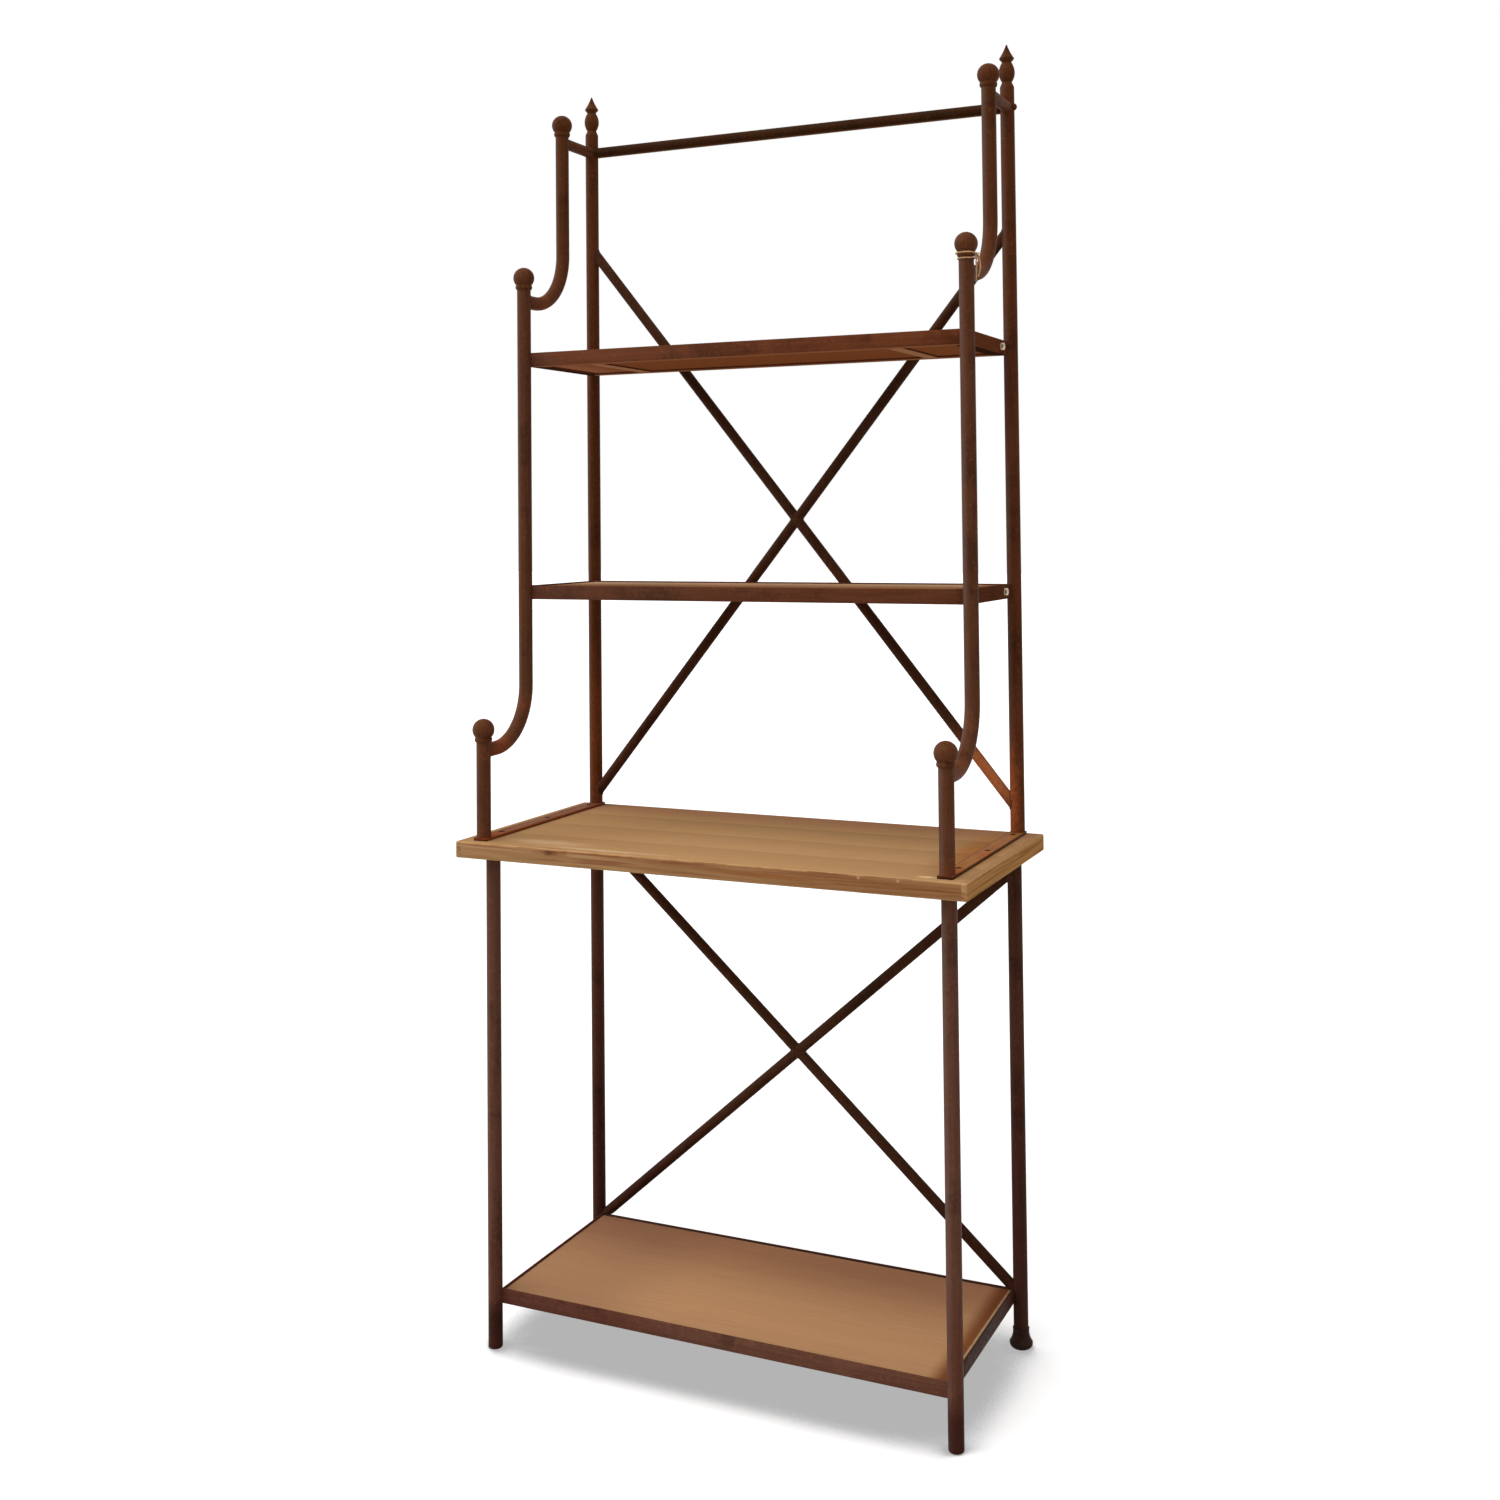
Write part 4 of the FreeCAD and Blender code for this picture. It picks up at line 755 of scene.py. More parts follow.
def new_piece(name, mesh, material=None):
    """An object for a mesh, at the origin."""
    made = bpy.data.objects.new(name, mesh)
    bpy.context.scene.collection.objects.link(made)
    if material is not None:
        mesh.materials.clear()
        mesh.materials.append(material)
    return made


def mesh_from(name, shape):
    """Turn a worked shape into a mesh, and let the shape go."""
    mesh = bpy.data.meshes.new(name)
    shape.to_mesh(mesh)
    shape.free()
    return mesh


def shade(mesh, degrees=35.0):
    """Smooth faces, with sharp edges where the surface turns by more than an angle."""
    mesh.shade_smooth()
    mesh.set_sharp_from_angle(angle=math.radians(degrees))


def settle(piece, slot, *nodes):
    """Let a finished piece ride on the rack and stand for its nodes."""
    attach(piece, BODY)
    if nodes:
        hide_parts(*nodes)
    return piece


def dress(material, *starts):
    """Give a finish to the nodes whose names begin in one of these ways."""
    for name, item in frame["nodes"].items():
        if name.startswith(starts):
            for place in item.material_slots:
                place.material = material


def sharp_edges(shape, degrees=28.0):
    """The edges at which a shape turns by more than an angle."""
    limit = math.radians(degrees)
    return [edge for edge in shape.edges
            if len(edge.link_faces) == 2 and edge.calc_face_angle() > limit]


def mark_board(mesh, number):
    """Give a board its own number, so that its grain differs from the next one's."""
    mark = mesh.attributes.new("board", "FLOAT", "POINT")
    mark.data.foreach_set("value", [float(number)] * len(mesh.vertices))


def eased_copy(name, source, radius, segments=2):
    """A node's shape again, merged and with its edges rounded."""
    shape = bmesh.new()
    shape.from_mesh(frame["nodes"][source].data)
    bmesh.ops.remove_doubles(shape, verts=shape.verts, dist=1e-6)
    bmesh.ops.dissolve_limit(shape, angle_limit=math.radians(1.0), verts=shape.verts,
                             edges=shape.edges)
    bmesh.ops.bevel(shape, geom=sharp_edges(shape), offset=radius, segments=segments, profile=0.5,
                    affect="EDGES", clamp_overlap=True)
    mesh = mesh_from(name, shape)
    shade(mesh)
    return mesh


def block(low, high):
    """A box between two corners."""
    shape = bmesh.new()
    bmesh.ops.create_cube(shape, size=1.0)
    span = high - low
    bmesh.ops.scale(shape, vec=span, verts=shape.verts)
    bmesh.ops.translate(shape, vec=(low + high) / 2, verts=shape.verts)
    return shape


def slice_off(shape, place, outward):
    """Cut away what lies beyond a plane, and close the cut."""
    geometry = shape.verts[:] + shape.edges[:] + shape.faces[:]
    cut = bmesh.ops.bisect_plane(shape, geom=geometry, dist=1e-7, plane_co=place, plane_no=outward,
                                 clear_outer=True)
    rim = [item for item in cut["geom_cut"] if isinstance(item, bmesh.types.BMEdge)]
    bmesh.ops.contextual_create(shape, geom=rim)
    return rim


def full_turn(steps):
    """Angles that lie evenly round a full turn."""
    return [2 * math.pi * step / steps for step in range(steps)]


def around(radius, turn, height=0.0):
    """The point at a radius, an angle and a height round the Z axis."""
    return Vector((radius * math.cos(turn), radius * math.sin(turn), height))


def prism(shape, turns, profile):
    """Add a solid with a corner at each of some angles, from (radius, height) points."""
    layers = [[shape.verts.new(around(radius, turn, height)) for turn in turns]
              for radius, height in profile]
    for lower, upper in zip(layers, layers[1:]):
        for index, corner in enumerate(lower):
            following = (index + 1) % len(lower)
            shape.faces.new((corner, lower[following], upper[following], upper[index]))
    shape.faces.new(layers[0])
    shape.faces.new(layers[-1])


def lathe(shape, profile, segments):
    """Add a form turned round the Z axis, from (radius, height) points."""
    rings = []
    for radius, height in profile:
        count = 1 if radius < 1e-9 else segments
        rings.append([shape.verts.new(around(radius, turn, height))
                      for turn in full_turn(segments)[:count]])
    for lower, upper in zip(rings, rings[1:]):
        for step in range(segments):
            following = step + 1
            corners = [lower[step % len(lower)], lower[following % len(lower)],
                       upper[following % len(upper)], upper[step % len(upper)]]
            unique = [corner for index, corner in enumerate(corners)
                      if corner not in corners[:index]]
            if len(unique) > 2:
                shape.faces.new(unique)


# ---------------------------------------------------------------- geometry node trees


def geometry_group(name, inputs):
    """An empty geometry tree with a geometry in and out and named inputs."""
    return new_tree(name, "GeometryNodeTree", [("Geometry", GEOMETRY, None), *inputs],
                    [("Geometry", GEOMETRY)])


def close_tree(tree, given, result, shape, smooth_degrees):
    """End a tree: realize, shade smooth up to an angle, set the material."""
    real = node(tree, "GeometryNodeRealizeInstances", {"Geometry": shape}).outputs[0]
    real = node(tree, "GeometryNodeSetShadeSmooth", {"Geometry": real, "Shade Smooth": True},
                domain="FACE").outputs[0]
    angle = node(tree, "GeometryNodeInputMeshEdgeAngle").outputs["Unsigned Angle"]
    sharp = node(tree, "FunctionNodeCompare", {0: angle, 1: math.radians(smooth_degrees)},
                 data_type="FLOAT", operation="GREATER_THAN").outputs[0]
    real = node(tree, "GeometryNodeSetShadeSmooth",
                {"Geometry": real, "Selection": sharp, "Shade Smooth": False},
                domain="EDGE").outputs[0]
    real = node(tree, "GeometryNodeSetMaterial", {"Geometry": real,
                                                  "Material": given["Material"]}).outputs[0]
    tree.links.new(real, result["Geometry"])
    tidy_nodes(tree)
    return tree


@built_once("Weld Beads")
def weld_tree(name):
    """A rippled bead of weld metal along every path, as thick as the path asks."""
    tree, given, result = geometry_group(
        name, [("Step", FLOAT, 0.002), ("Ripple", FLOAT, 0.10), ("Lumps", FLOAT, 0.45),
               ("Material", MATERIAL, None)])
    paths = node(tree, "GeometryNodeMeshToCurve", {"Mesh": given["Geometry"]}).outputs[0]
    fine = calc(tree, "MULTIPLY", given["Step"], 0.3)
    paths = node(tree, "GeometryNodeResampleCurve", {"Curve": paths, "Length": fine},
                 mode="LENGTH").outputs[0]
    run = node(tree, "GeometryNodeSplineParameter").outputs["Length"]
    turns = calc(tree, "MULTIPLY", calc(tree, "DIVIDE", run, given["Step"]), 2 * math.pi)
    ripple = calc(tree, "MULTIPLY_ADD", calc(tree, "SINE", turns), given["Ripple"], 1.0)
    spot = node(tree, "GeometryNodeInputPosition").outputs[0]
    uneven = calc(tree, "SUBTRACT", noise(tree, spot, 110.0, 2.0), 0.5)
    ripple = calc(tree, "MULTIPLY_ADD", uneven, given["Lumps"], ripple)
    bead = node(tree, "GeometryNodeInputNamedAttribute", {"Name": "bead"},
                data_type="FLOAT").outputs[0]
    ring = node(tree, "GeometryNodeCurvePrimitiveCircle", {"Resolution": 9, "Radius": 1.0},
                mode="RADIUS").outputs[0]
    beads = node(tree, "GeometryNodeCurveToMesh",
                 {"Curve": paths, "Profile Curve": ring, "Scale": calc(tree, "MULTIPLY", bead, ripple),
                  "Fill Caps": True}).outputs[0]
    return close_tree(tree, given, result, beads, 80.0)


@built_once("Fasteners")
def fastener_tree(name):
    """A copy of a fastener at every point, standing along the point's outward direction."""
    tree, given, result = geometry_group(
        name, [("Fastener", "NodeSocketObject", None), ("Turn Spread", FLOAT, 3.0),
               ("Seed", "NodeSocketInt", 5), ("Material", MATERIAL, None)])
    outward = node(tree, "GeometryNodeInputNamedAttribute", {"Name": "outward"},
                   data_type="FLOAT_VECTOR").outputs[0]
    facing = node(tree, "FunctionNodeAlignRotationToVector", {"Vector": outward},
                  axis="Z").outputs[0]
    chance = node(tree, "FunctionNodeRandomValue", {2: 0.0, 3: 1.0, "Seed": given["Seed"]},
                  data_type="FLOAT").outputs[1]
    turn = calc(tree, "MULTIPLY", chance, given["Turn Spread"])
    spin = node(tree, "FunctionNodeAxisAngleToRotation", {"Axis": (0.0, 0.0, 1.0),
                                                          "Angle": turn}).outputs[0]
    facing = node(tree, "FunctionNodeRotateRotation", {0: facing, 1: spin},
                  rotation_space="LOCAL").outputs[0]
    shape = node(tree, "GeometryNodeObjectInfo", {"Object": given["Fastener"],
                                                  "As Instance": True}).outputs["Geometry"]
    points = node(tree, "GeometryNodeInstanceOnPoints",
                  {"Points": given["Geometry"], "Instance": shape, "Rotation": facing}).outputs[0]
    return close_tree(tree, given, result, points, 35.0)


@built_once("Twisted Twine")
def twine_tree(name):
    """Twisted plies along every path."""
    tree, given, result = geometry_group(
        name, [("Strand Radius", FLOAT, 0.0013), ("Plies", FLOAT, 3.0),
               ("Groove", FLOAT, 0.22), ("Twist Per Metre", FLOAT, 950.0),
               ("Step", FLOAT, 0.0005), ("Material", MATERIAL, None)])
    paths = node(tree, "GeometryNodeMeshToCurve", {"Mesh": given["Geometry"]}).outputs[0]
    paths = node(tree, "GeometryNodeResampleCurve", {"Curve": paths, "Length": given["Step"]},
                 mode="LENGTH").outputs[0]
    run = node(tree, "GeometryNodeSplineParameter").outputs["Length"]
    paths = node(tree, "GeometryNodeSetCurveTilt",
                 {"Curve": paths, "Tilt": calc(tree, "MULTIPLY", run, given["Twist Per Metre"])}
                 ).outputs[0]
    sides = 18
    circle = node(tree, "GeometryNodeCurvePrimitiveCircle", {"Resolution": sides, "Radius": 1.0},
                  mode="RADIUS").outputs[0]
    number = node(tree, "GeometryNodeInputIndex").outputs[0]
    turn = calc(tree, "MULTIPLY", number, 2 * math.pi / sides)
    lobe = calc(tree, "COSINE", calc(tree, "MULTIPLY", turn, given["Plies"]))
    reach = calc(tree, "MULTIPLY_ADD", lobe, given["Groove"], calc(tree, "SUBTRACT", 1.0,
                                                                 given["Groove"]))
    reach = calc(tree, "MULTIPLY", reach, given["Strand Radius"])
    spot = node(tree, "GeometryNodeInputPosition").outputs[0]
    spot = node(tree, "ShaderNodeVectorMath", {0: spot, "Scale": reach}, operation="SCALE").outputs[0]
    section = node(tree, "GeometryNodeSetPosition", {"Geometry": circle,
                                                     "Position": spot}).outputs[0]
    rope = node(tree, "GeometryNodeCurveToMesh", {"Curve": paths, "Profile Curve": section,
                                                  "Fill Caps": True}).outputs[0]
    return close_tree(tree, given, result, rope, 70.0)


def grow(name, source, tree, values):
    """Run a tree over a mesh and keep what it makes as a plain mesh."""
    start = new_piece(f"{name}_start", source)
    modifier = start.modifiers.new(tree.name, "NODES")
    modifier.node_group = tree
    for socket in tree.interface.items_tree:
        if socket.in_out == "INPUT" and socket.name in values:
            modifier[socket.identifier] = values[socket.name]
    bpy.context.view_layer.update()
    ready = start.evaluated_get(bpy.context.evaluated_depsgraph_get())
    mesh = bpy.data.meshes.new_from_object(ready)
    mesh.name = name
    bpy.data.objects.remove(start)
    if len(mesh.polygons) == 0:
        raise RuntimeError(f"{name} came out empty")
    return new_piece(name, mesh)


def paths_mesh(name, paths):
    """A mesh of edges only: each path is (points, whether it closes, a bead radius per point)."""
    spots = []
    edges = []
    beads = []
    for points, closed, radii in paths:
        first = len(spots)
        spots.extend(points)
        last = len(spots) - 1
        edges.extend((index, index + 1) for index in range(first, last))
        if closed:
            edges.append((last, first))
        beads.extend(radii)
    mesh = bpy.data.meshes.new(name)
    mesh.from_pydata(spots, edges, [])
    mesh.attributes.new("bead", "FLOAT", "POINT").data.foreach_set("value", beads)
    return mesh


def beaded(paths, radius):
    """Paths with one bead radius all along."""
    return [(points, closed, [radius] * len(points)) for points, closed in paths]


def tapered(path, post_y, post_radius, radius, least):
    """A path round a post with a bead that thins out toward the post's sides."""
    points, closed = path
    shares = [abs(point.y - post_y) / post_radius for point in points]
    return points, closed, [max(least, radius * min(1.0, share) ** 2) for share in shares]


def points_mesh(name, places):
    """A mesh of points only: each place is (point, outward direction)."""
    mesh = bpy.data.meshes.new(name)
    mesh.from_pydata([point for point, _ in places], [], [])
    outward = mesh.attributes.new("outward", "FLOAT_VECTOR", "POINT")
    outward.data.foreach_set("vector", [part for _, way in places for part in way])
    return mesh


# ---------------------------------------------------------------- wood


def counter_slab():
    """The whole counter as one slab with rounded outer edges."""
    sizes = bpy.context.scene.rack_sizes
    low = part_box("counter_end_band_left")[0]
    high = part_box("counter_end_band_right")[1]
    shape = block(low, high)
    bmesh.ops.bevel(shape, geom=shape.edges[:], offset=sizes.board_round, segments=4, profile=0.5,
                    affect="EDGES")
    return shape, low, high


def cut_board(name, number, node_name, material):
    """One board of the counter, cut from the slab at its own joints and eased there."""
    sizes = bpy.context.scene.rack_sizes
    shape, slab_low, slab_high = counter_slab()
    low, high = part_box(node_name)
    hair = 1e-5
    rims = []
    for axis in (X, Y):
        for place, edge, way in ((low, slab_low, -1.0), (high, slab_high, 1.0)):
            if abs(place[axis] - edge[axis]) > hair:
                outward = Vector((0.0, 0.0, 0.0))
                outward[axis] = way
                spot = Vector((0.0, 0.0, 0.0))
                spot[axis] = place[axis]
                slice_off(shape, spot, outward)
                rims.append((axis, place[axis]))
    joints = [edge for edge in sharp_edges(shape, 50.0)
              if any(all(abs(end.co[axis] - place) < hair for end in edge.verts)
                     for axis, place in rims)]
    bmesh.ops.bevel(shape, geom=joints, offset=sizes.board_ease, segments=2, profile=0.5,
                    affect="EDGES", clamp_overlap=True)
    mesh = mesh_from(name, shape)
    shade(mesh)
    mark_board(mesh, number)
    return new_piece(name, mesh, material)


# ---------------------------------------------------------------- weld paths


def ring_path(centre, radius, steps=48):
    """A level circle."""
    return [centre + around(radius, turn) for turn in full_turn(steps)], True


def saddle_path(centre, post_radius, tube_radius, way, steps=48):
    """Where a level tube along Y meets an upright post: way is 1 to the rear, -1 to the front."""
    points = []
    for turn in full_turn(steps):
        side = tube_radius * math.cos(turn)
        out = math.sqrt(max(0.0, post_radius ** 2 - side ** 2))
        points.append(centre + Vector((side, way * out, tube_radius * math.sin(turn))))
    return points, True


def slanted_saddle_path(foot, head, post_radius, rod_radius, steps=40):
    """Where a slanted rod from foot to head leaves the upright post that foot stands in."""
    along = (head - foot).normalized()
    depth = Vector((0.0, 1.0, 0.0))
    lift = along.cross(depth)
    points = []
    for turn in full_turn(steps):
        offset = lift * (rod_radius * math.cos(turn)) + depth * (rod_radius * math.sin(turn))
        reach = math.sqrt(post_radius ** 2 - offset.y ** 2)
        travel = (math.copysign(reach, along.x) - offset.x) / along.x
        points.append(foot + offset + along * travel)
    return points, True


def crossing_paths(first, second, centre, radius, steps=48):
    """The two ovals along which two equal crossing rods meet."""
    ways = [(first + second).normalized(), (first - second).normalized()]
    depth = Vector((0.0, 1.0, 0.0))
    paths = []
    for way in ways:
        slant = math.sqrt(1.0 - way.dot(first) ** 2)
        paths.append(([centre + way * (radius * math.cos(turn) / slant)
                       + depth * (radius * math.sin(turn)) for turn in full_turn(steps)], True))
    return paths


def brace_welds(post_x, y, through, crossing):
    """Welds at the feet, the heads and the crossing of two braces, each given as (low, high)."""
    sizes = bpy.context.scene.rack_sizes
    feet = []
    heads = []
    ways = []
    for sign, (low, high) in ((1.0, through), (-1.0, crossing)):
        foot = Vector((post_x * sign, y, low))
        head = Vector((-post_x * sign, y, high))
        feet.append(slanted_saddle_path(foot, head, sizes.tube_radius, sizes.brace_radius))
        heads.append(slanted_saddle_path(head, foot, sizes.tube_radius, sizes.brace_radius))
        ways.append((head - foot).normalized())
    rise, other_rise = through[1] - through[0], crossing[1] - crossing[0]
    sideways = (2 * (through[0] - crossing[0]) + rise - other_rise) / (rise + other_rise)
    centre = Vector((post_x * sideways, y, through[0] + rise * (1.0 - sideways) / 2))
    return feet, heads, crossing_paths(ways[0], ways[1], centre, sizes.brace_radius)


def seam_paths(shelf, posts):
    """Upright seams where a shelf frame's rails meet its posts."""
    sizes = bpy.context.scene.rack_sizes
    radius, inset = sizes.tube_radius, sizes.seam_inset
    paths = []
    for (side, row), post in posts.items():
        sign = SIDE_SIGN[side]
        way = -1.0 if row == "front" else 1.0
        cross_low, cross_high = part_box(f"{shelf}_rail_{row}")
        side_low, side_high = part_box(f"{shelf}_rail_{side}")
        face_y = cross_low.y if row == "front" else cross_high.y
        face_x = side_high.x if sign > 0 else side_low.x
        inward = math.sqrt(radius ** 2 - (face_y - post.y) ** 2)
        along = math.sqrt(radius ** 2 - (face_x - post.x) ** 2)
        spots = ((post.x - sign * inward, face_y), (face_x, post.y - way * along))
        for x, y in spots:
            paths.append(([Vector((x, y, cross_low.z + inset)), Vector((x, y, cross_high.z - inset))],
                          False))
    return paths


# ---------------------------------------------------------------- operators


class RackOperator(bpy.types.Operator):
    """Shared base of the rack's operators."""

    bl_options = {"REGISTER", "UNDO"}


class RACK_OT_studio(RackOperator):
    """Set the plain white studio, its soft lights and the camera."""

    bl_idname = "rack.studio"
    bl_label = "Set the Studio"

    def execute(self, context):
        look = context.scene.rack_studio
        add_camera(look)
        add_lights(look)
        add_surroundings(look)
        add_floor(look)
        context.scene.view_settings.view_transform = "Standard"
        return {"FINISHED"}


def add_camera(look):
    """Set the camera that looks at the rack from the right front."""
    yaw, pitch, roll = look.camera_yaw, look.camera_pitch, look.camera_roll
    ahead = Vector((-math.sin(yaw) * math.cos(pitch), math.cos(yaw) * math.cos(pitch),
                    math.sin(pitch)))
    right = Vector((math.cos(yaw), math.sin(yaw), 0.0))
    up = right.cross(ahead)
    level = Matrix((right, up, -ahead)).transposed()
    turn = Matrix.Rotation(roll, 3, "Z")
    lens = bpy.data.cameras.new("camera")
    lens.lens = look.lens
    lens.shift_x = look.shift_x
    lens.shift_y = look.shift_y
    camera = bpy.data.objects.new("camera", lens)
    bpy.context.scene.collection.objects.link(camera)
    camera.matrix_world = Matrix.Translation(look.camera_place) @ (level @ turn).to_4x4()
    bpy.context.scene.camera = camera


def add_lights(look):
    """Broad soft lights, so far away that they are even all over the floor."""
    # Each lamp: its name, its strength, the way toward it and its spread.
    lamps = (("key_light", look.key, (-0.25, -0.50, 1.0), 75.0),
             ("front_light", look.front, (-1.0, -0.55, 0.30), 50.0),
             ("fill_light", look.fill, (1.0, -0.35, 0.25), 60.0))
    for name, strength, away, spread_degrees in lamps:
        lamp = bpy.data.lights.new(name, "SUN")
        lamp.energy = strength
        lamp.angle = math.radians(spread_degrees)
        holder = bpy.data.objects.new(name, lamp)
        bpy.context.scene.collection.objects.link(holder)
        holder.rotation_euler = Vector(away).to_track_quat("Z", "Y").to_euler()


def seen_directly(tree):
    """1 for a ray from the camera, or one that a gloss or a glass sends on."""
    path = tree.nodes.new("ShaderNodeLightPath").outputs
    total = calc(tree, "ADD", path["Is Camera Ray"], path["Is Glossy Ray"])
    return calc(tree, "ADD", total, path["Is Transmission Ray"], clamp=True)


def add_surroundings(look):
    """Even light all round, and plain white wherever nothing stands."""
    world = bpy.data.worlds.new("surroundings")
    world.use_nodes = True
    tree = world.node_tree
    tree.nodes.clear()
    strength = spread(tree, seen_directly(tree), 0.0, 1.0, look.sky, 1.0, smooth=False)
    back = node(tree, "ShaderNodeBackground", {"Color": (1.0, 1.0, 1.0, 1.0), "Strength": strength})
    output = tree.nodes.new("ShaderNodeOutputWorld")
    tree.links.new(back.outputs[0], output.inputs["Surface"])
    tidy_nodes(tree)
    bpy.context.scene.world = world


def add_floor(look):
    """A wide white floor that keeps the rack's shadow, and a painted shadow under the rack as seen."""
    half = look.floor_size
    mesh = bpy.data.meshes.new("floor")
    mesh.from_pydata([(-half, -half, 0.0), (half, -half, 0.0), (half, half, 0.0), (-half, half, 0.0)],
                     [], [(0, 1, 2, 3)])
    material = bpy.data.materials.new("white_floor")
    material.use_nodes = True
    tree = material.node_tree
    tree.nodes.clear()
    seen = seen_directly(tree)
    # Painted shadow: as seen, the floor's white darkens by occlusion where the rack stands close
    # overhead.
    opening = node(tree, "ShaderNodeAmbientOcclusion", {"Distance": look.shadow_reach}, samples=16)
    open_share = spread(tree, opening.outputs["AO"], look.shadow_full, look.shadow_none)
    white = calc(tree, "MULTIPLY", open_share, look.floor_white)
    paint = spread(tree, seen, 0.0, 1.0, look.floor_bounce, white, smooth=False)
    matt = node(tree, "ShaderNodeBsdfDiffuse", {"Color": paint})
    glow = node(tree, "ShaderNodeEmission", {"Strength": calc(tree, "MULTIPLY", seen,
                                                              look.floor_glow)})
    both = node(tree, "ShaderNodeAddShader", {0: matt.outputs[0], 1: glow.outputs[0]})
    output = tree.nodes.new("ShaderNodeOutputMaterial")
    tree.links.new(both.outputs[0], output.inputs["Surface"])
    tidy_nodes(tree)
    floor = new_piece("floor", mesh, material)


class RACK_OT_counter(RackOperator):
    """Make the counter's boards and end bands with rounded edges."""

    bl_idname = "rack.counter"
    bl_label = "Make the Counter"

    def execute(self, context):
        for number, plank in enumerate(PLANKS):
            name = f"counter_plank_{plank}"
            board = cut_board(f"{name}_board", number, name, counter_wood())
            settle(board, "counter_wood", name)
        for number, side in enumerate(SIDES, start=len(PLANKS)):
            name = f"counter_end_band_{side}"
            band = cut_board(f"{name}_board", number, name, counter_wood(turned=True))
            settle(band, "counter_wood", name)
        return {"FINISHED"}


class RACK_OT_panels(RackOperator):
    """Make the wooden panels of the three shelves."""

    bl_idname = "rack.panels"
    bl_label = "Make the Shelf Panels"

    def execute(self, context):
        sizes = context.scene.rack_sizes
        first_number = 7  # The counter's boards have smaller ones.
        for number, shelf in enumerate(SHELVES, start=first_number):
            name = f"{shelf}_panel"
            mesh = eased_copy(f"{name}_board", name, sizes.panel_round, 3)
            mark_board(mesh, number)
            settle(new_piece(f"{name}_board", mesh, shelf_wood(shelf)), "shelf_wood", name)
        return {"FINISHED"}


class RACK_OT_tubes(RackOperator):
    """Finish the legs, the posts, the braces and the top rails."""

    bl_idname = "rack.tubes"
    bl_label = "Finish the Tubes"

    def execute(self, context):
        tints = context.scene.rack_finishes
        # Darker toward the floor on the legs and braces: painted shade under the counter and the
        # shelf.
        shaded_low = (Z, 0.26, 0.16, (0.90, 0.80, 0.80))
        dark_foot = (Z, 0.095, 0.045, (0.42, 0.36, 0.38))
        darker_rear_low = (Z, 0.62, 0.25, (0.62, 0.58, 0.70))
        darker_brace_low = (Z, 0.45, 0.12, (0.64, 0.58, 0.66))
        dress(iron_finish("iron_leg", tints.iron_leg, coats=[shaded_low, dark_foot]), "leg_front",
              "front_feet")
        dress(iron_finish("iron_rear_leg", tints.iron_back, left_sheen=0.1, coats=[darker_rear_low]),
              "leg_rear")
        dress(iron_finish("iron_post", tints.iron_post, zones=post_rust()), "front_post",
              "middle_post")
        dress(iron_finish("iron_upper_post", tints.iron_high_post, zones=post_rust()), "upper_post",
              "top_rail_left", "top_rail_right")
        dress(iron_finish("iron_rear_post", tints.iron_rear, zones=rear_post_rust(), left_sheen=0.45),
              "rear_post")
        rusty_end = brace_rust()
        lit_end = (*rusty_end[:3], 0.55, tints.iron_lit_brace)
        dress(iron_finish("iron_brace", tints.iron_brace, zones=[rusty_end], worn=0.3, left_sheen=0.15,
                          shine=0.03, marks=[lit_end], coats=[darker_brace_low]),
              "base_brace", "hutch_brace")
        # Painted shade darkens the rear rail, and painted light pales its underside.
        dress(iron_finish("iron_high_rail", tints.iron_high_rail, worn=0.3, left_sheen=0.15, shine=0.03,
                          drawn=(9.0, 260.0, 260.0), under=tints.iron_rail_under), "top_rail_rear")
        return {"FINISHED"}


def post_rust():
    """Warm rust at the feet of the front posts and along the hooks that leave them."""
    bar_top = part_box("counter_bar_right")[1].z
    zones = []
    for side, foot_share, hook_share in (("left", 0.08, 0.5), ("right", 0.12, 0.25)):
        front = middle(f"front_post_{side}")
        low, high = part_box(f"middle_post_{side}")
        zones.append(((front.x + 0.010, front.y - 0.006, bar_top), EVEN, 0.040, foot_share))
        zones.append(((front.x, front.y + 0.045, low.z + 0.008), (1.0, 0.55, 1.0), 0.042, hook_share))
        zones.append(((front.x, high.y - 0.012, low.z + 0.065), (1.0, 1.0, 0.6), 0.034,
                      hook_share * 0.7))
        tier_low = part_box(f"upper_post_{side}")[0]
        zones.append(((front.x, tier_low.y + 0.060, tier_low.z + 0.010), (1.0, 0.6, 1.0), 0.036,
                      hook_share * 0.6))
    return zones


def rear_post_rust():
    """Warm rust on the lower part of the rear posts, strongest by the right brace's end."""
    bar_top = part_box("counter_bar_right")[1].z
    left, right = middle("rear_post_left"), middle("rear_post_right")
    return [((left.x + 0.008, left.y, bar_top + 0.10), (1.0, 1.0, 0.16), 0.045, 0.22),
            ((right.x - 0.012, right.y - 0.008, bar_top + 0.05), (1.6, 1.0, 0.26), 0.046, 0.80)]


def brace_rust():
    """Warm rust on the right end of the hutch brace."""
    right = middle("rear_post_right")
    foot = (right.x - 0.05, right.y, bpy.context.scene.rack_sizes.hutch_through_low + 0.06)
    return foot, (0.6, 1.0, 0.6), 0.07, 0.95


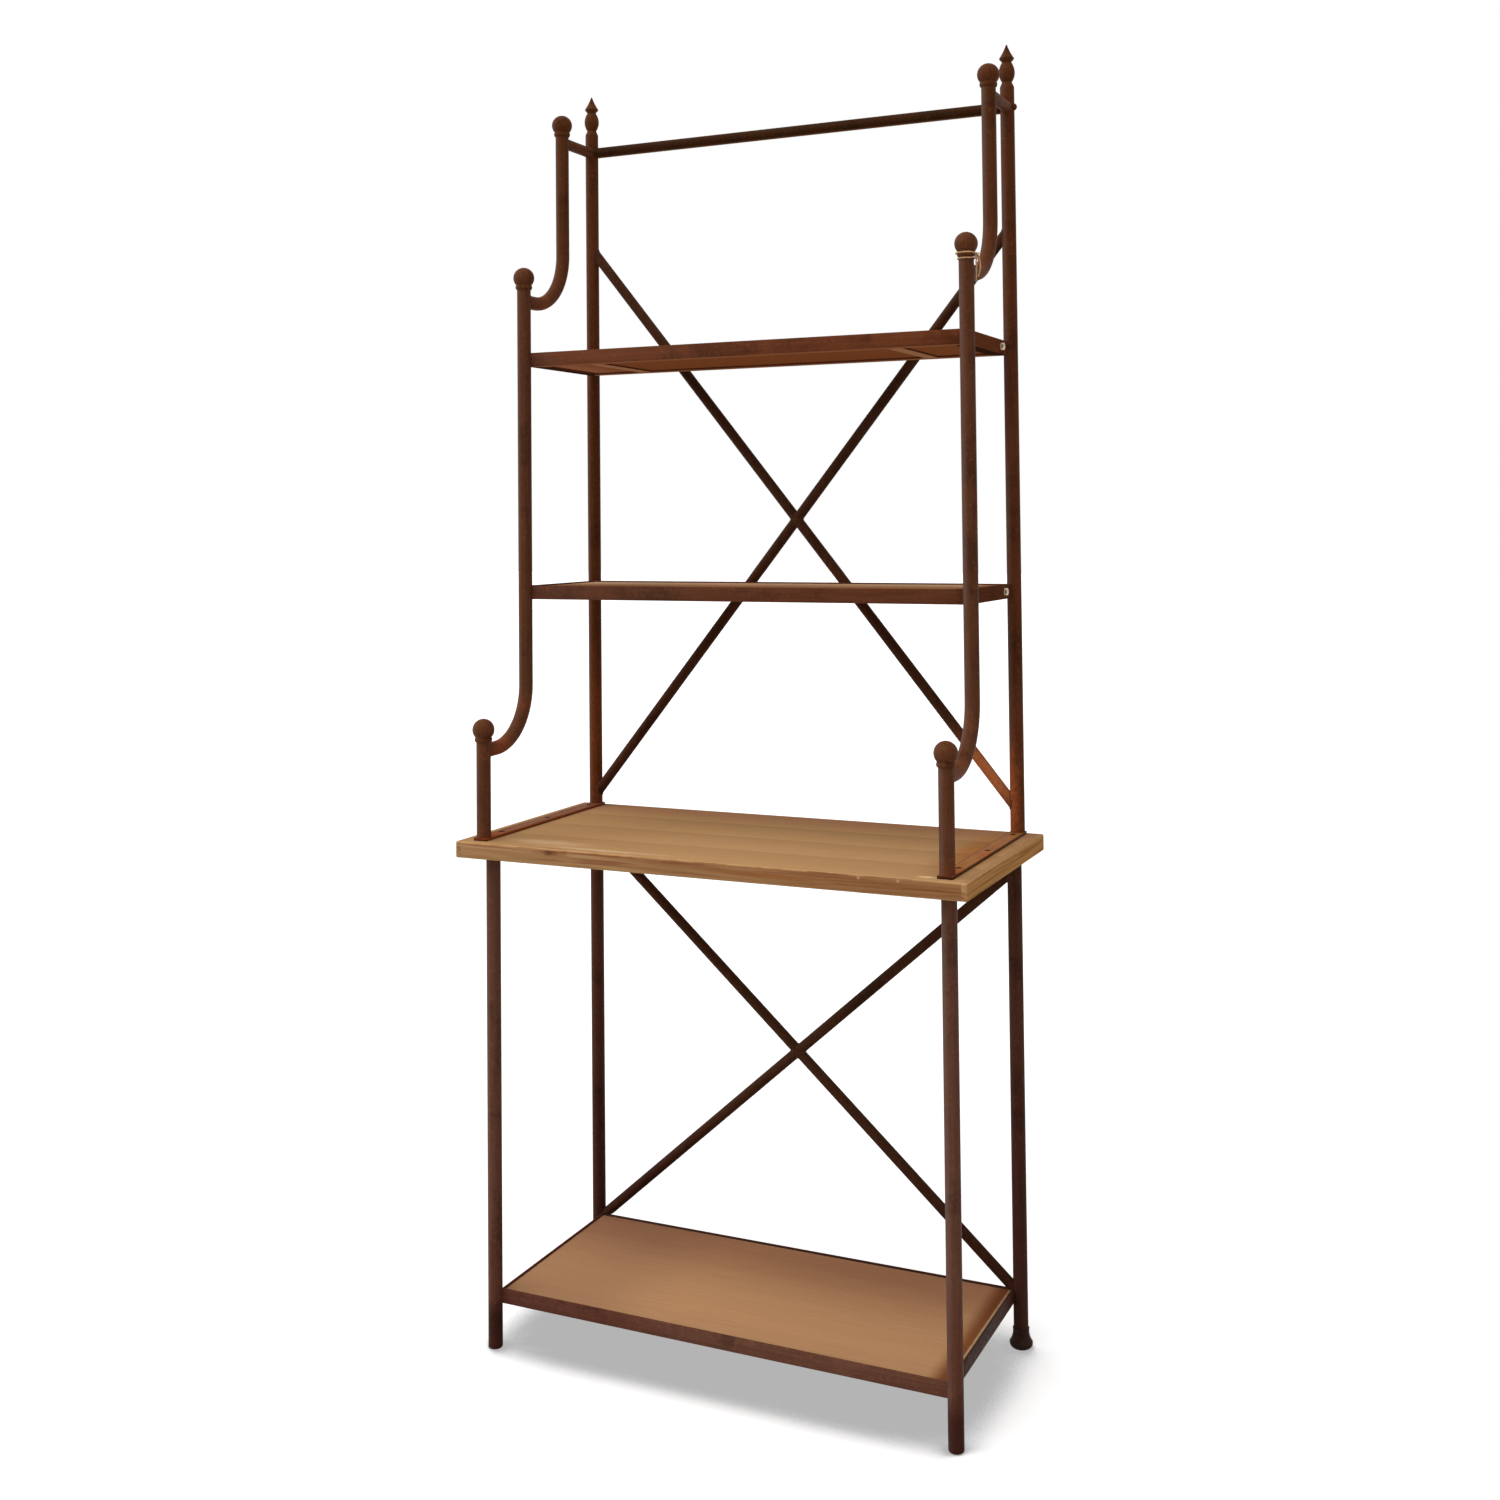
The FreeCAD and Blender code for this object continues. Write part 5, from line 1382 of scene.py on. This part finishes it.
class RACK_OT_flat_iron(RackOperator):
    """Make the shelf frames, the bearers, the counter bars and the frame under the counter."""

    bl_idname = "rack.flat_iron"
    bl_label = "Make the Flat Iron"

    def execute(self, context):
        radius = context.scene.rack_sizes.iron_round
        tints = context.scene.rack_finishes
        level = (9.0, 9.0, 260.0)
        redder_left = (X, -0.02, -0.22, (0.84, 0.66, 0.66))
        low = iron_finish("iron_low_rail", tints.iron_low_rail, worn=0.6, patch_scale=14.0,
                          drawn=level, shine=0.02, coats=[redder_left])
        looks = {"worn": 0.3, "patch_scale": 9.0, "drawn": level, "shine": 0.0}
        # Paler undersides here are painted light; the upper side rails' dark undersides are painted
        # shade.
        angle = iron_finish("iron_angle", tints.iron_rail, under=tints.iron_under, **looks)
        upper = iron_finish("iron_upper_angle", tints.iron_upper_rail, under=tints.iron_under, **looks)
        ends = iron_finish("iron_upper_ends", tints.iron_upper_rail, under=tints.iron_hidden, **looks)
        bearer = iron_finish("iron_bearer", tints.iron_upper_rail, under=tints.iron_bearer, **looks)
        dark = iron_finish("iron_hidden", tints.iron_hidden, worn=0.2)
        names = [(f"middle_shelf_rail_{side}", angle) for side in RAIL_SIDES]
        names += [(f"upper_shelf_rail_{side}", ends if side in SIDES else upper)
                  for side in RAIL_SIDES]
        # The bottom shelf's right and rear rails take the dark iron as painted shade.
        names += [(f"bottom_shelf_rail_{side}", low if side in ("front", "left") else dark)
                  for side in RAIL_SIDES]
        names += [(f"counter_frame_{side}", dark) for side in RAIL_SIDES]
        names += [(f"counter_bar_{side}", bar_finish(side)) for side in SIDES]
        names.append(("upper_shelf_bearers", bearer))
        for name, material in names:
            mesh = eased_copy(f"{name}_rolled", name, radius)
            settle(new_piece(f"{name}_rolled", mesh, material), "iron", name)
        return {"FINISHED"}


def bar_finish(side):
    """Worn iron of a counter bar: warm on top, orange sides on the left, painted shade on the right.
    """
    tints = bpy.context.scene.rack_finishes
    body, upright, warmth = {"left": (tints.iron_left_bar, tints.iron_left_side, 0.05),
                             "right": (tints.iron_right_bar, tints.iron_right_side, 0.12)}[side]
    front = middle(f"front_post_{side}")
    low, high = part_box(f"counter_bar_{side}")
    zones = [((front.x + 0.012, front.y + 0.02, high.z), (1.0, 0.7, 1.0), 0.045, 0.8)]
    if side == "right":
        zones.append(((high.x, (low.y + high.y) / 2 - 0.02, high.z), (1.0, 0.5, 1.0), 0.030, 0.7))
    # Painted shadow lines darken the bar along its bottom, front and left edges.
    dark = (0.34, 0.28, 0.30)
    coats = [(Z, low.z + 0.0028, low.z + 0.0010, dark),
             (Y, low.y + 0.004, low.y + 0.001, (0.60, 0.52, 0.50)),
             (X, low.x + 0.0028, low.x + 0.0006, dark)]
    marks = [(spot, EVEN, 0.0095, 0.95, tints.iron_screw_ring)
             for spot in bar_screw_spots(high.z) if spot.x * front.x > 0]
    return iron_finish(f"iron_bar_{side}", body, warmth=warmth, worn=0.7, left_sheen=0.1, patch_scale=22.0,
                       gloss=0.05, zones=zones, side=upright, coats=coats, marks=marks,
                       drawn=(260.0, 9.0, 260.0))


class RACK_OT_castings(RackOperator):
    """Finish the finials and the feet."""

    bl_idname = "rack.castings"
    bl_label = "Finish the Castings"

    def execute(self, context):
        tints = context.scene.rack_finishes
        hammered = {"worn": 0.55, "patch_scale": 38.0, "dent": 0.0005, "pit_scale": 160.0,
                    "gloss": -0.04, "left_sheen": 0.18}
        dress(iron_finish("iron_ball", tints.iron_ball, **hammered), "ball_finials_front",
              "ball_finials_middle")
        dress(iron_finish("iron_high_ball", tints.iron_high_ball, **hammered), "ball_finials_upper")
        dress(iron_finish("iron_spear", tints.iron_high_ball, **hammered), "spear_finial",
              "top_rail_bolts")
        dress(iron_finish("iron_bell", tints.iron_bell, **hammered), "rear_feet")
        return {"FINISHED"}


class RACK_OT_fasteners(RackOperator):
    """Make the slotted screws, the lag screws and the washers."""

    bl_idname = "rack.fasteners"
    bl_label = "Make the Fasteners"

    def execute(self, context):
        sizes = context.scene.rack_sizes
        make_bar_screws(sizes)
        make_frame_screws(sizes)
        make_lag_screws(sizes)
        return {"FINISHED"}


def repeat(name, slot, shape, places, material, nodes, spin=3.0):
    """Put a copy of a small shape at every place, as one piece."""
    pattern = new_piece(f"{name}_pattern", mesh_from(f"{name}_pattern", shape))
    made = grow(name, points_mesh(f"{name}_points", places), fastener_tree(),
                {"Fastener": pattern, "Turn Spread": spin, "Material": material})
    bpy.data.objects.remove(pattern)
    return settle(made, slot, *nodes)


def pointed_shank(radius, depth):
    """A screw's lower end as (radius, height) points, from its tip up to its full width."""
    tip_share = 0.4
    return [(0.0, -depth), (radius * tip_share, -depth), (radius, radius - depth)]


def slotted_screw(sizes, countersunk, shank_length):
    """A screw with a slot across its head; its head's top is at height 0."""
    shape = bmesh.new()
    head, shank = sizes.screw_radius, sizes.screw_shank
    depth, tall, ease = sizes.slot_depth, sizes.screw_head, sizes.screw_ease
    under = shank if countersunk else head
    profile = pointed_shank(shank, tall + shank_length)
    profile += [(shank, -tall), (under, -tall), (head - ease, -depth), (0.0, -depth)]
    lathe(shape, profile, 24)
    half_slot = sizes.screw_slot / 2
    arc_steps = 14
    for sign in (1.0, -1.0):
        start = math.asin(half_slot / head)
        turns = [start + (math.pi - 2 * start) * step / arc_steps for step in range(arc_steps + 1)]
        prism(shape, [sign * turn for turn in turns],
              [(head, -depth), (head, -ease), (head - ease, 0.0)])
    bmesh.ops.recalc_face_normals(shape, faces=shape.faces)
    return shape


def bar_screw_spots(height):
    """The middles of the screws in the two counter bars, at some height."""
    radius = bpy.context.scene.rack_sizes.screw_radius
    low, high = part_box("counter_bar_screws")
    first, last = low.y + radius, high.y - radius
    x = high.x - radius
    return [Vector((x * sign, y, height)) for sign in SIDE_SIGN.values()
            for y in (first, (first + last) / 2, last)]


def make_bar_screws(sizes):
    """The countersunk screws that hold the counter bars down."""
    up = Vector((0.0, 0.0, 1.0))
    places = [(spot, up) for spot in bar_screw_spots(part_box("counter_bar_screws")[1].z)]
    repeat("counter_bar_slotted_screws", "dark_screw", slotted_screw(sizes, True, sizes.screw_length),
           places, black_screw(), ["counter_bar_screws"])


def make_frame_screws(sizes):
    """The screws that hold the base's frame under the counter."""
    leg = middle("leg_front_right")
    rear = middle("leg_rear_right").y
    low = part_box("counter_frame_screws")[0].z
    inner = leg.x - sizes.frame_screw_inset
    down = Vector((0.0, 0.0, -1.0))
    spots = [(x, y) for x in (-inner, 0.0, inner) for y in (leg.y, rear)]
    spots += [(leg.x * sign, leg.y + sizes.side_screw_inset) for sign in SIDE_SIGN.values()]
    places = [(Vector((x, y, low)), down) for x, y in spots]
    repeat("counter_frame_slotted_screws", "dark_screw",
           slotted_screw(sizes, False, sizes.frame_screw_length), places, black_screw(),
           ["counter_frame_screws"])


def hex_flat(sizes):
    """From the middle of a lag screw's head to one of its flats."""
    return sizes.hex_radius * math.cos(math.pi / 6)


def lag_screw(sizes):
    """A lag screw: a hexagonal head with its corners turned off, and its shank below."""
    shape = bmesh.new()
    corner, top = sizes.hex_radius, sizes.hex_height
    crown = hex_flat(sizes) * 0.97
    lap = 0.0003
    prism(shape, full_turn(6), [(corner, 0.0), (corner, top - sizes.hex_ease), (crown, top)])
    profile = pointed_shank(sizes.lag_radius, sizes.lag_length)
    lathe(shape, profile + [(sizes.lag_radius, lap), (0.0, lap)], 16)
    bmesh.ops.recalc_face_normals(shape, faces=shape.faces)
    return shape


def washer(sizes):
    """A flat washer with eased edges, standing from height 0 down."""
    shape = bmesh.new()
    outer, inner = sizes.washer_radius, sizes.lag_radius
    tall, ease = sizes.washer_height, sizes.washer_ease
    profile = [(inner, -tall), (outer - ease, -tall), (outer, -tall + ease), (outer, -ease),
               (outer - ease, 0.0), (inner, 0.0), (inner, -tall)]
    lathe(shape, profile, 32)
    bmesh.ops.remove_doubles(shape, verts=shape.verts, dist=1e-7)
    bmesh.ops.recalc_face_normals(shape, faces=shape.faces)
    return shape


def make_lag_screws(sizes):
    """The lag screws and washers in the side rails of the two hutch shelves."""
    low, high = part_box("shelf_lag_screws")
    flat = hex_flat(sizes)
    rows = (low.y + flat, high.y - flat)
    places = []
    for shelf in SHELVES[1:]:
        for side, sign in SIDE_SIGN.items():
            rail_low, rail_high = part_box(f"{shelf}_rail_{side}")
            face = rail_high.x if sign > 0 else rail_low.x
            height = rail_high.z - sizes.lag_drop
            outward = Vector((sign, 0.0, 0.0))
            places += [(Vector((face, y, height)) + outward * sizes.washer_height, outward)
                       for y in rows]
    repeat("shelf_hexagon_screws", "zinc", lag_screw(sizes), places, zinc_plate(),
           ["shelf_lag_screws"], spin=0.0)
    repeat("shelf_flat_washers", "zinc", washer(sizes), places, zinc_plate(), ["shelf_washers"])


class RACK_OT_welds(RackOperator):
    """Lay the weld beads where tubes, rods and rails meet."""

    bl_idname = "rack.welds"
    bl_label = "Lay the Welds"

    def execute(self, context):
        sizes = context.scene.rack_sizes
        tints = context.scene.rack_finishes
        material = iron_finish("iron_weld", tints.iron_post, worn=0.3, patch_scale=60.0, left_sheen=0.2,
                               gloss=0.04)
        for name, paths in (("weld_beads_base", base_welds(sizes)),
                            ("weld_beads_hutch", hutch_welds(sizes))):
            beads = grow(name, paths_mesh(name, paths), weld_tree(),
                         {"Step": sizes.weld_step, "Material": material})
            settle(beads, "iron")
        return {"FINISHED"}


def base_welds(sizes):
    """The base's welds, as paths with their bead radii."""
    legs = {(side, row): middle(f"leg_{row}_{side}") for side, row in CORNERS}
    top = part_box("leg_front_left")[1].z
    rings = [ring_path(Vector((leg.x, leg.y, top)), sizes.tube_radius) for leg in legs.values()]
    rear = legs["right", "rear"]
    _, heads, crossing = brace_welds(rear.x, rear.y, (sizes.base_through_low, sizes.base_through_high),
                                     (sizes.base_crossing_low, sizes.base_crossing_high))
    small = heads + crossing + seam_paths("bottom_shelf", legs)
    return beaded(rings, sizes.foot_weld) + beaded(small, sizes.weld_radius)


def hutch_welds(sizes):
    """The hutch's welds, as paths with their bead radii."""
    radius = sizes.tube_radius
    bar_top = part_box("counter_bar_left")[1].z
    small, rings, hooks = [], [], []
    for side in SIDES:
        front, rear = middle(f"front_post_{side}"), middle(f"rear_post_{side}")
        for post in (front, rear):
            rings.append(ring_path(Vector((post.x, post.y, bar_top)), radius))
        run_y = front.y
        for post in (f"middle_post_{side}", f"upper_post_{side}"):
            low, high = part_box(post)
            saddle = saddle_path(Vector((front.x, run_y, low.z + radius)), radius, radius, 1.0)
            hooks.append(tapered(saddle, run_y, radius, sizes.joint_weld, sizes.weld_radius * 0.4))
            run_y = high.y - radius
        rail_z = middle(f"top_rail_{side}").z
        small.append(saddle_path(Vector((front.x, run_y, rail_z)), radius, sizes.rail_radius, 1.0))
        small.append(saddle_path(Vector((front.x, rear.y, rail_z)), radius, sizes.rail_radius, -1.0))
    rear = middle("rear_post_right")
    feet, heads, crossing = brace_welds(rear.x, rear.y,
                                        (sizes.hutch_through_low, sizes.hutch_through_high),
                                        (sizes.hutch_crossing_low, sizes.hutch_crossing_high))
    small += feet + heads + crossing
    tier_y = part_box("middle_post_left")[1].y - radius
    posts = {}
    for side in SIDES:
        rear = middle(f"rear_post_{side}")
        posts[side, "front"] = Vector((rear.x, tier_y, 0.0))
        posts[side, "rear"] = rear
    for shelf in SHELVES[1:]:
        small += seam_paths(shelf, posts)
    return beaded(small, sizes.weld_radius) + beaded(rings, sizes.foot_weld) + hooks


class RACK_OT_twine(RackOperator):
    """Wind the twine round the right middle finial, with its knot and two ends."""

    bl_idname = "rack.twine"
    bl_label = "Wind the Twine"

    def execute(self, context):
        sizes = context.scene.rack_sizes
        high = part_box("middle_post_right")[1]
        crown = Vector((middle("rear_post_right").x, high.y - sizes.tube_radius, high.z))
        paths = twine_paths(sizes, crown)
        twine = grow("twine_wound", paths_mesh("twine_wound", beaded(paths, sizes.twine_radius)),
                     twine_tree(),
                     {"Strand Radius": sizes.twine_radius, "Material": twine_finish()})
        settle(twine, "twine", "twine_tie")
        return {"FINISHED"}


def twine_paths(sizes, crown):
    """Two turns, a small knot and two hanging ends, round the middle of a post's top."""
    knot_turn = math.radians(8.0)
    up = Vector((0.0, 0.0, 1.0))
    out = around(1.0, knot_turn)
    side = Vector((-out.y, out.x, 0.0))
    knot_height = (sizes.twine_rise - sizes.twine_drop) / 2
    knot_reach = sizes.twine_upper + sizes.twine_radius * 0.6
    knot_middle = crown + out * (knot_reach + sizes.twine_radius * 0.6) + up * knot_height

    # Both turns start and end at the knot, and settle on the collar and on the post.
    steps = 72
    winding = []
    for reach, height in ((sizes.twine_upper, sizes.twine_rise),
                          (sizes.twine_lower, -sizes.twine_drop)):
        for step in range(steps):
            share = step / steps
            turn = knot_turn + 2 * math.pi * share
            settled = min(1.0, 2.6 * math.sin(math.pi * share)) ** 0.8
            radius = knot_reach + (reach - knot_reach) * settled
            rise = knot_height + (height - knot_height) * settled
            winding.append(crown + around(radius, turn, rise))

    # The knot is a trefoil.
    knot_steps = 64
    knot = []
    for turn in full_turn(knot_steps):
        knot.append(knot_middle
                    + side * (sizes.twine_knot * (math.sin(turn) + 2 * math.sin(2 * turn)))
                    + up * (sizes.twine_knot * (math.cos(turn) - 2 * math.cos(2 * turn)))
                    + out * (sizes.twine_knot * -math.sin(3 * turn)))
    paths = [(winding, True), (knot, True)]

    # Each end: its side of the knot, its bow outwards, its share of the tail, and how far it
    # falls in toward the post.
    tail_steps = 24
    for way, bow, tail_share, fall in ((-1.0, 0.0008, 1.0, 0.0036), (1.0, 0.0036, 0.80, 0.0)):
        tail = []
        for step in range(tail_steps + 1):
            share = step / tail_steps
            reach = 0.001 + math.sin(math.pi * share) * bow - fall * min(1.0, share * 5)
            tail.append(knot_middle + out * reach + side * (way * sizes.twine_parting * (1 - share))
                        - up * (sizes.twine_tail * tail_share * share))
        paths.append((tail, False))
    return paths


class RACK_PT_panel(bpy.types.Panel):
    """The rack's sizes, colours and steps."""

    bl_idname = "RACK_PT_panel"
    bl_label = "Bakers Rack"
    bl_space_type = "VIEW_3D"
    bl_region_type = "UI"
    bl_category = "Rack"

    def draw(self, context):
        scene = context.scene
        for title, group in (("Sizes", scene.rack_sizes), ("Finishes", scene.rack_finishes),
                             ("Studio", scene.rack_studio)):
            box = self.layout.box()
            box.label(text=title)
            for name in group.__annotations__:
                box.prop(group, name)
        for step in STEPS:
            self.layout.operator(step.bl_idname)


STEPS = (RACK_OT_studio, RACK_OT_counter, RACK_OT_panels, RACK_OT_tubes, RACK_OT_flat_iron,
         RACK_OT_castings, RACK_OT_fasteners, RACK_OT_welds, RACK_OT_twine)
GROUPS = (("rack_sizes", RackSizes), ("rack_finishes", RackFinishes), ("rack_studio", RackStudio))


def register():
    for name, group in GROUPS:
        bpy.utils.register_class(group)
        setattr(bpy.types.Scene, name, PointerProperty(type=group))
    for step in STEPS:
        bpy.utils.register_class(step)
    bpy.utils.register_class(RACK_PT_panel)


def unregister():
    bpy.utils.unregister_class(RACK_PT_panel)
    for step in reversed(STEPS):
        bpy.utils.unregister_class(step)
    for name, group in reversed(GROUPS):
        delattr(bpy.types.Scene, name)
        bpy.utils.unregister_class(group)


def main():
    register()
    bpy.ops.rack.studio()
    bpy.ops.rack.counter()
    bpy.ops.rack.panels()
    bpy.ops.rack.tubes()
    bpy.ops.rack.flat_iron()
    bpy.ops.rack.castings()
    bpy.ops.rack.fasteners()
    bpy.ops.rack.welds()
    bpy.ops.rack.twine()
    bpy.context.view_layer.update()


if __name__ == "__main__":
    main()
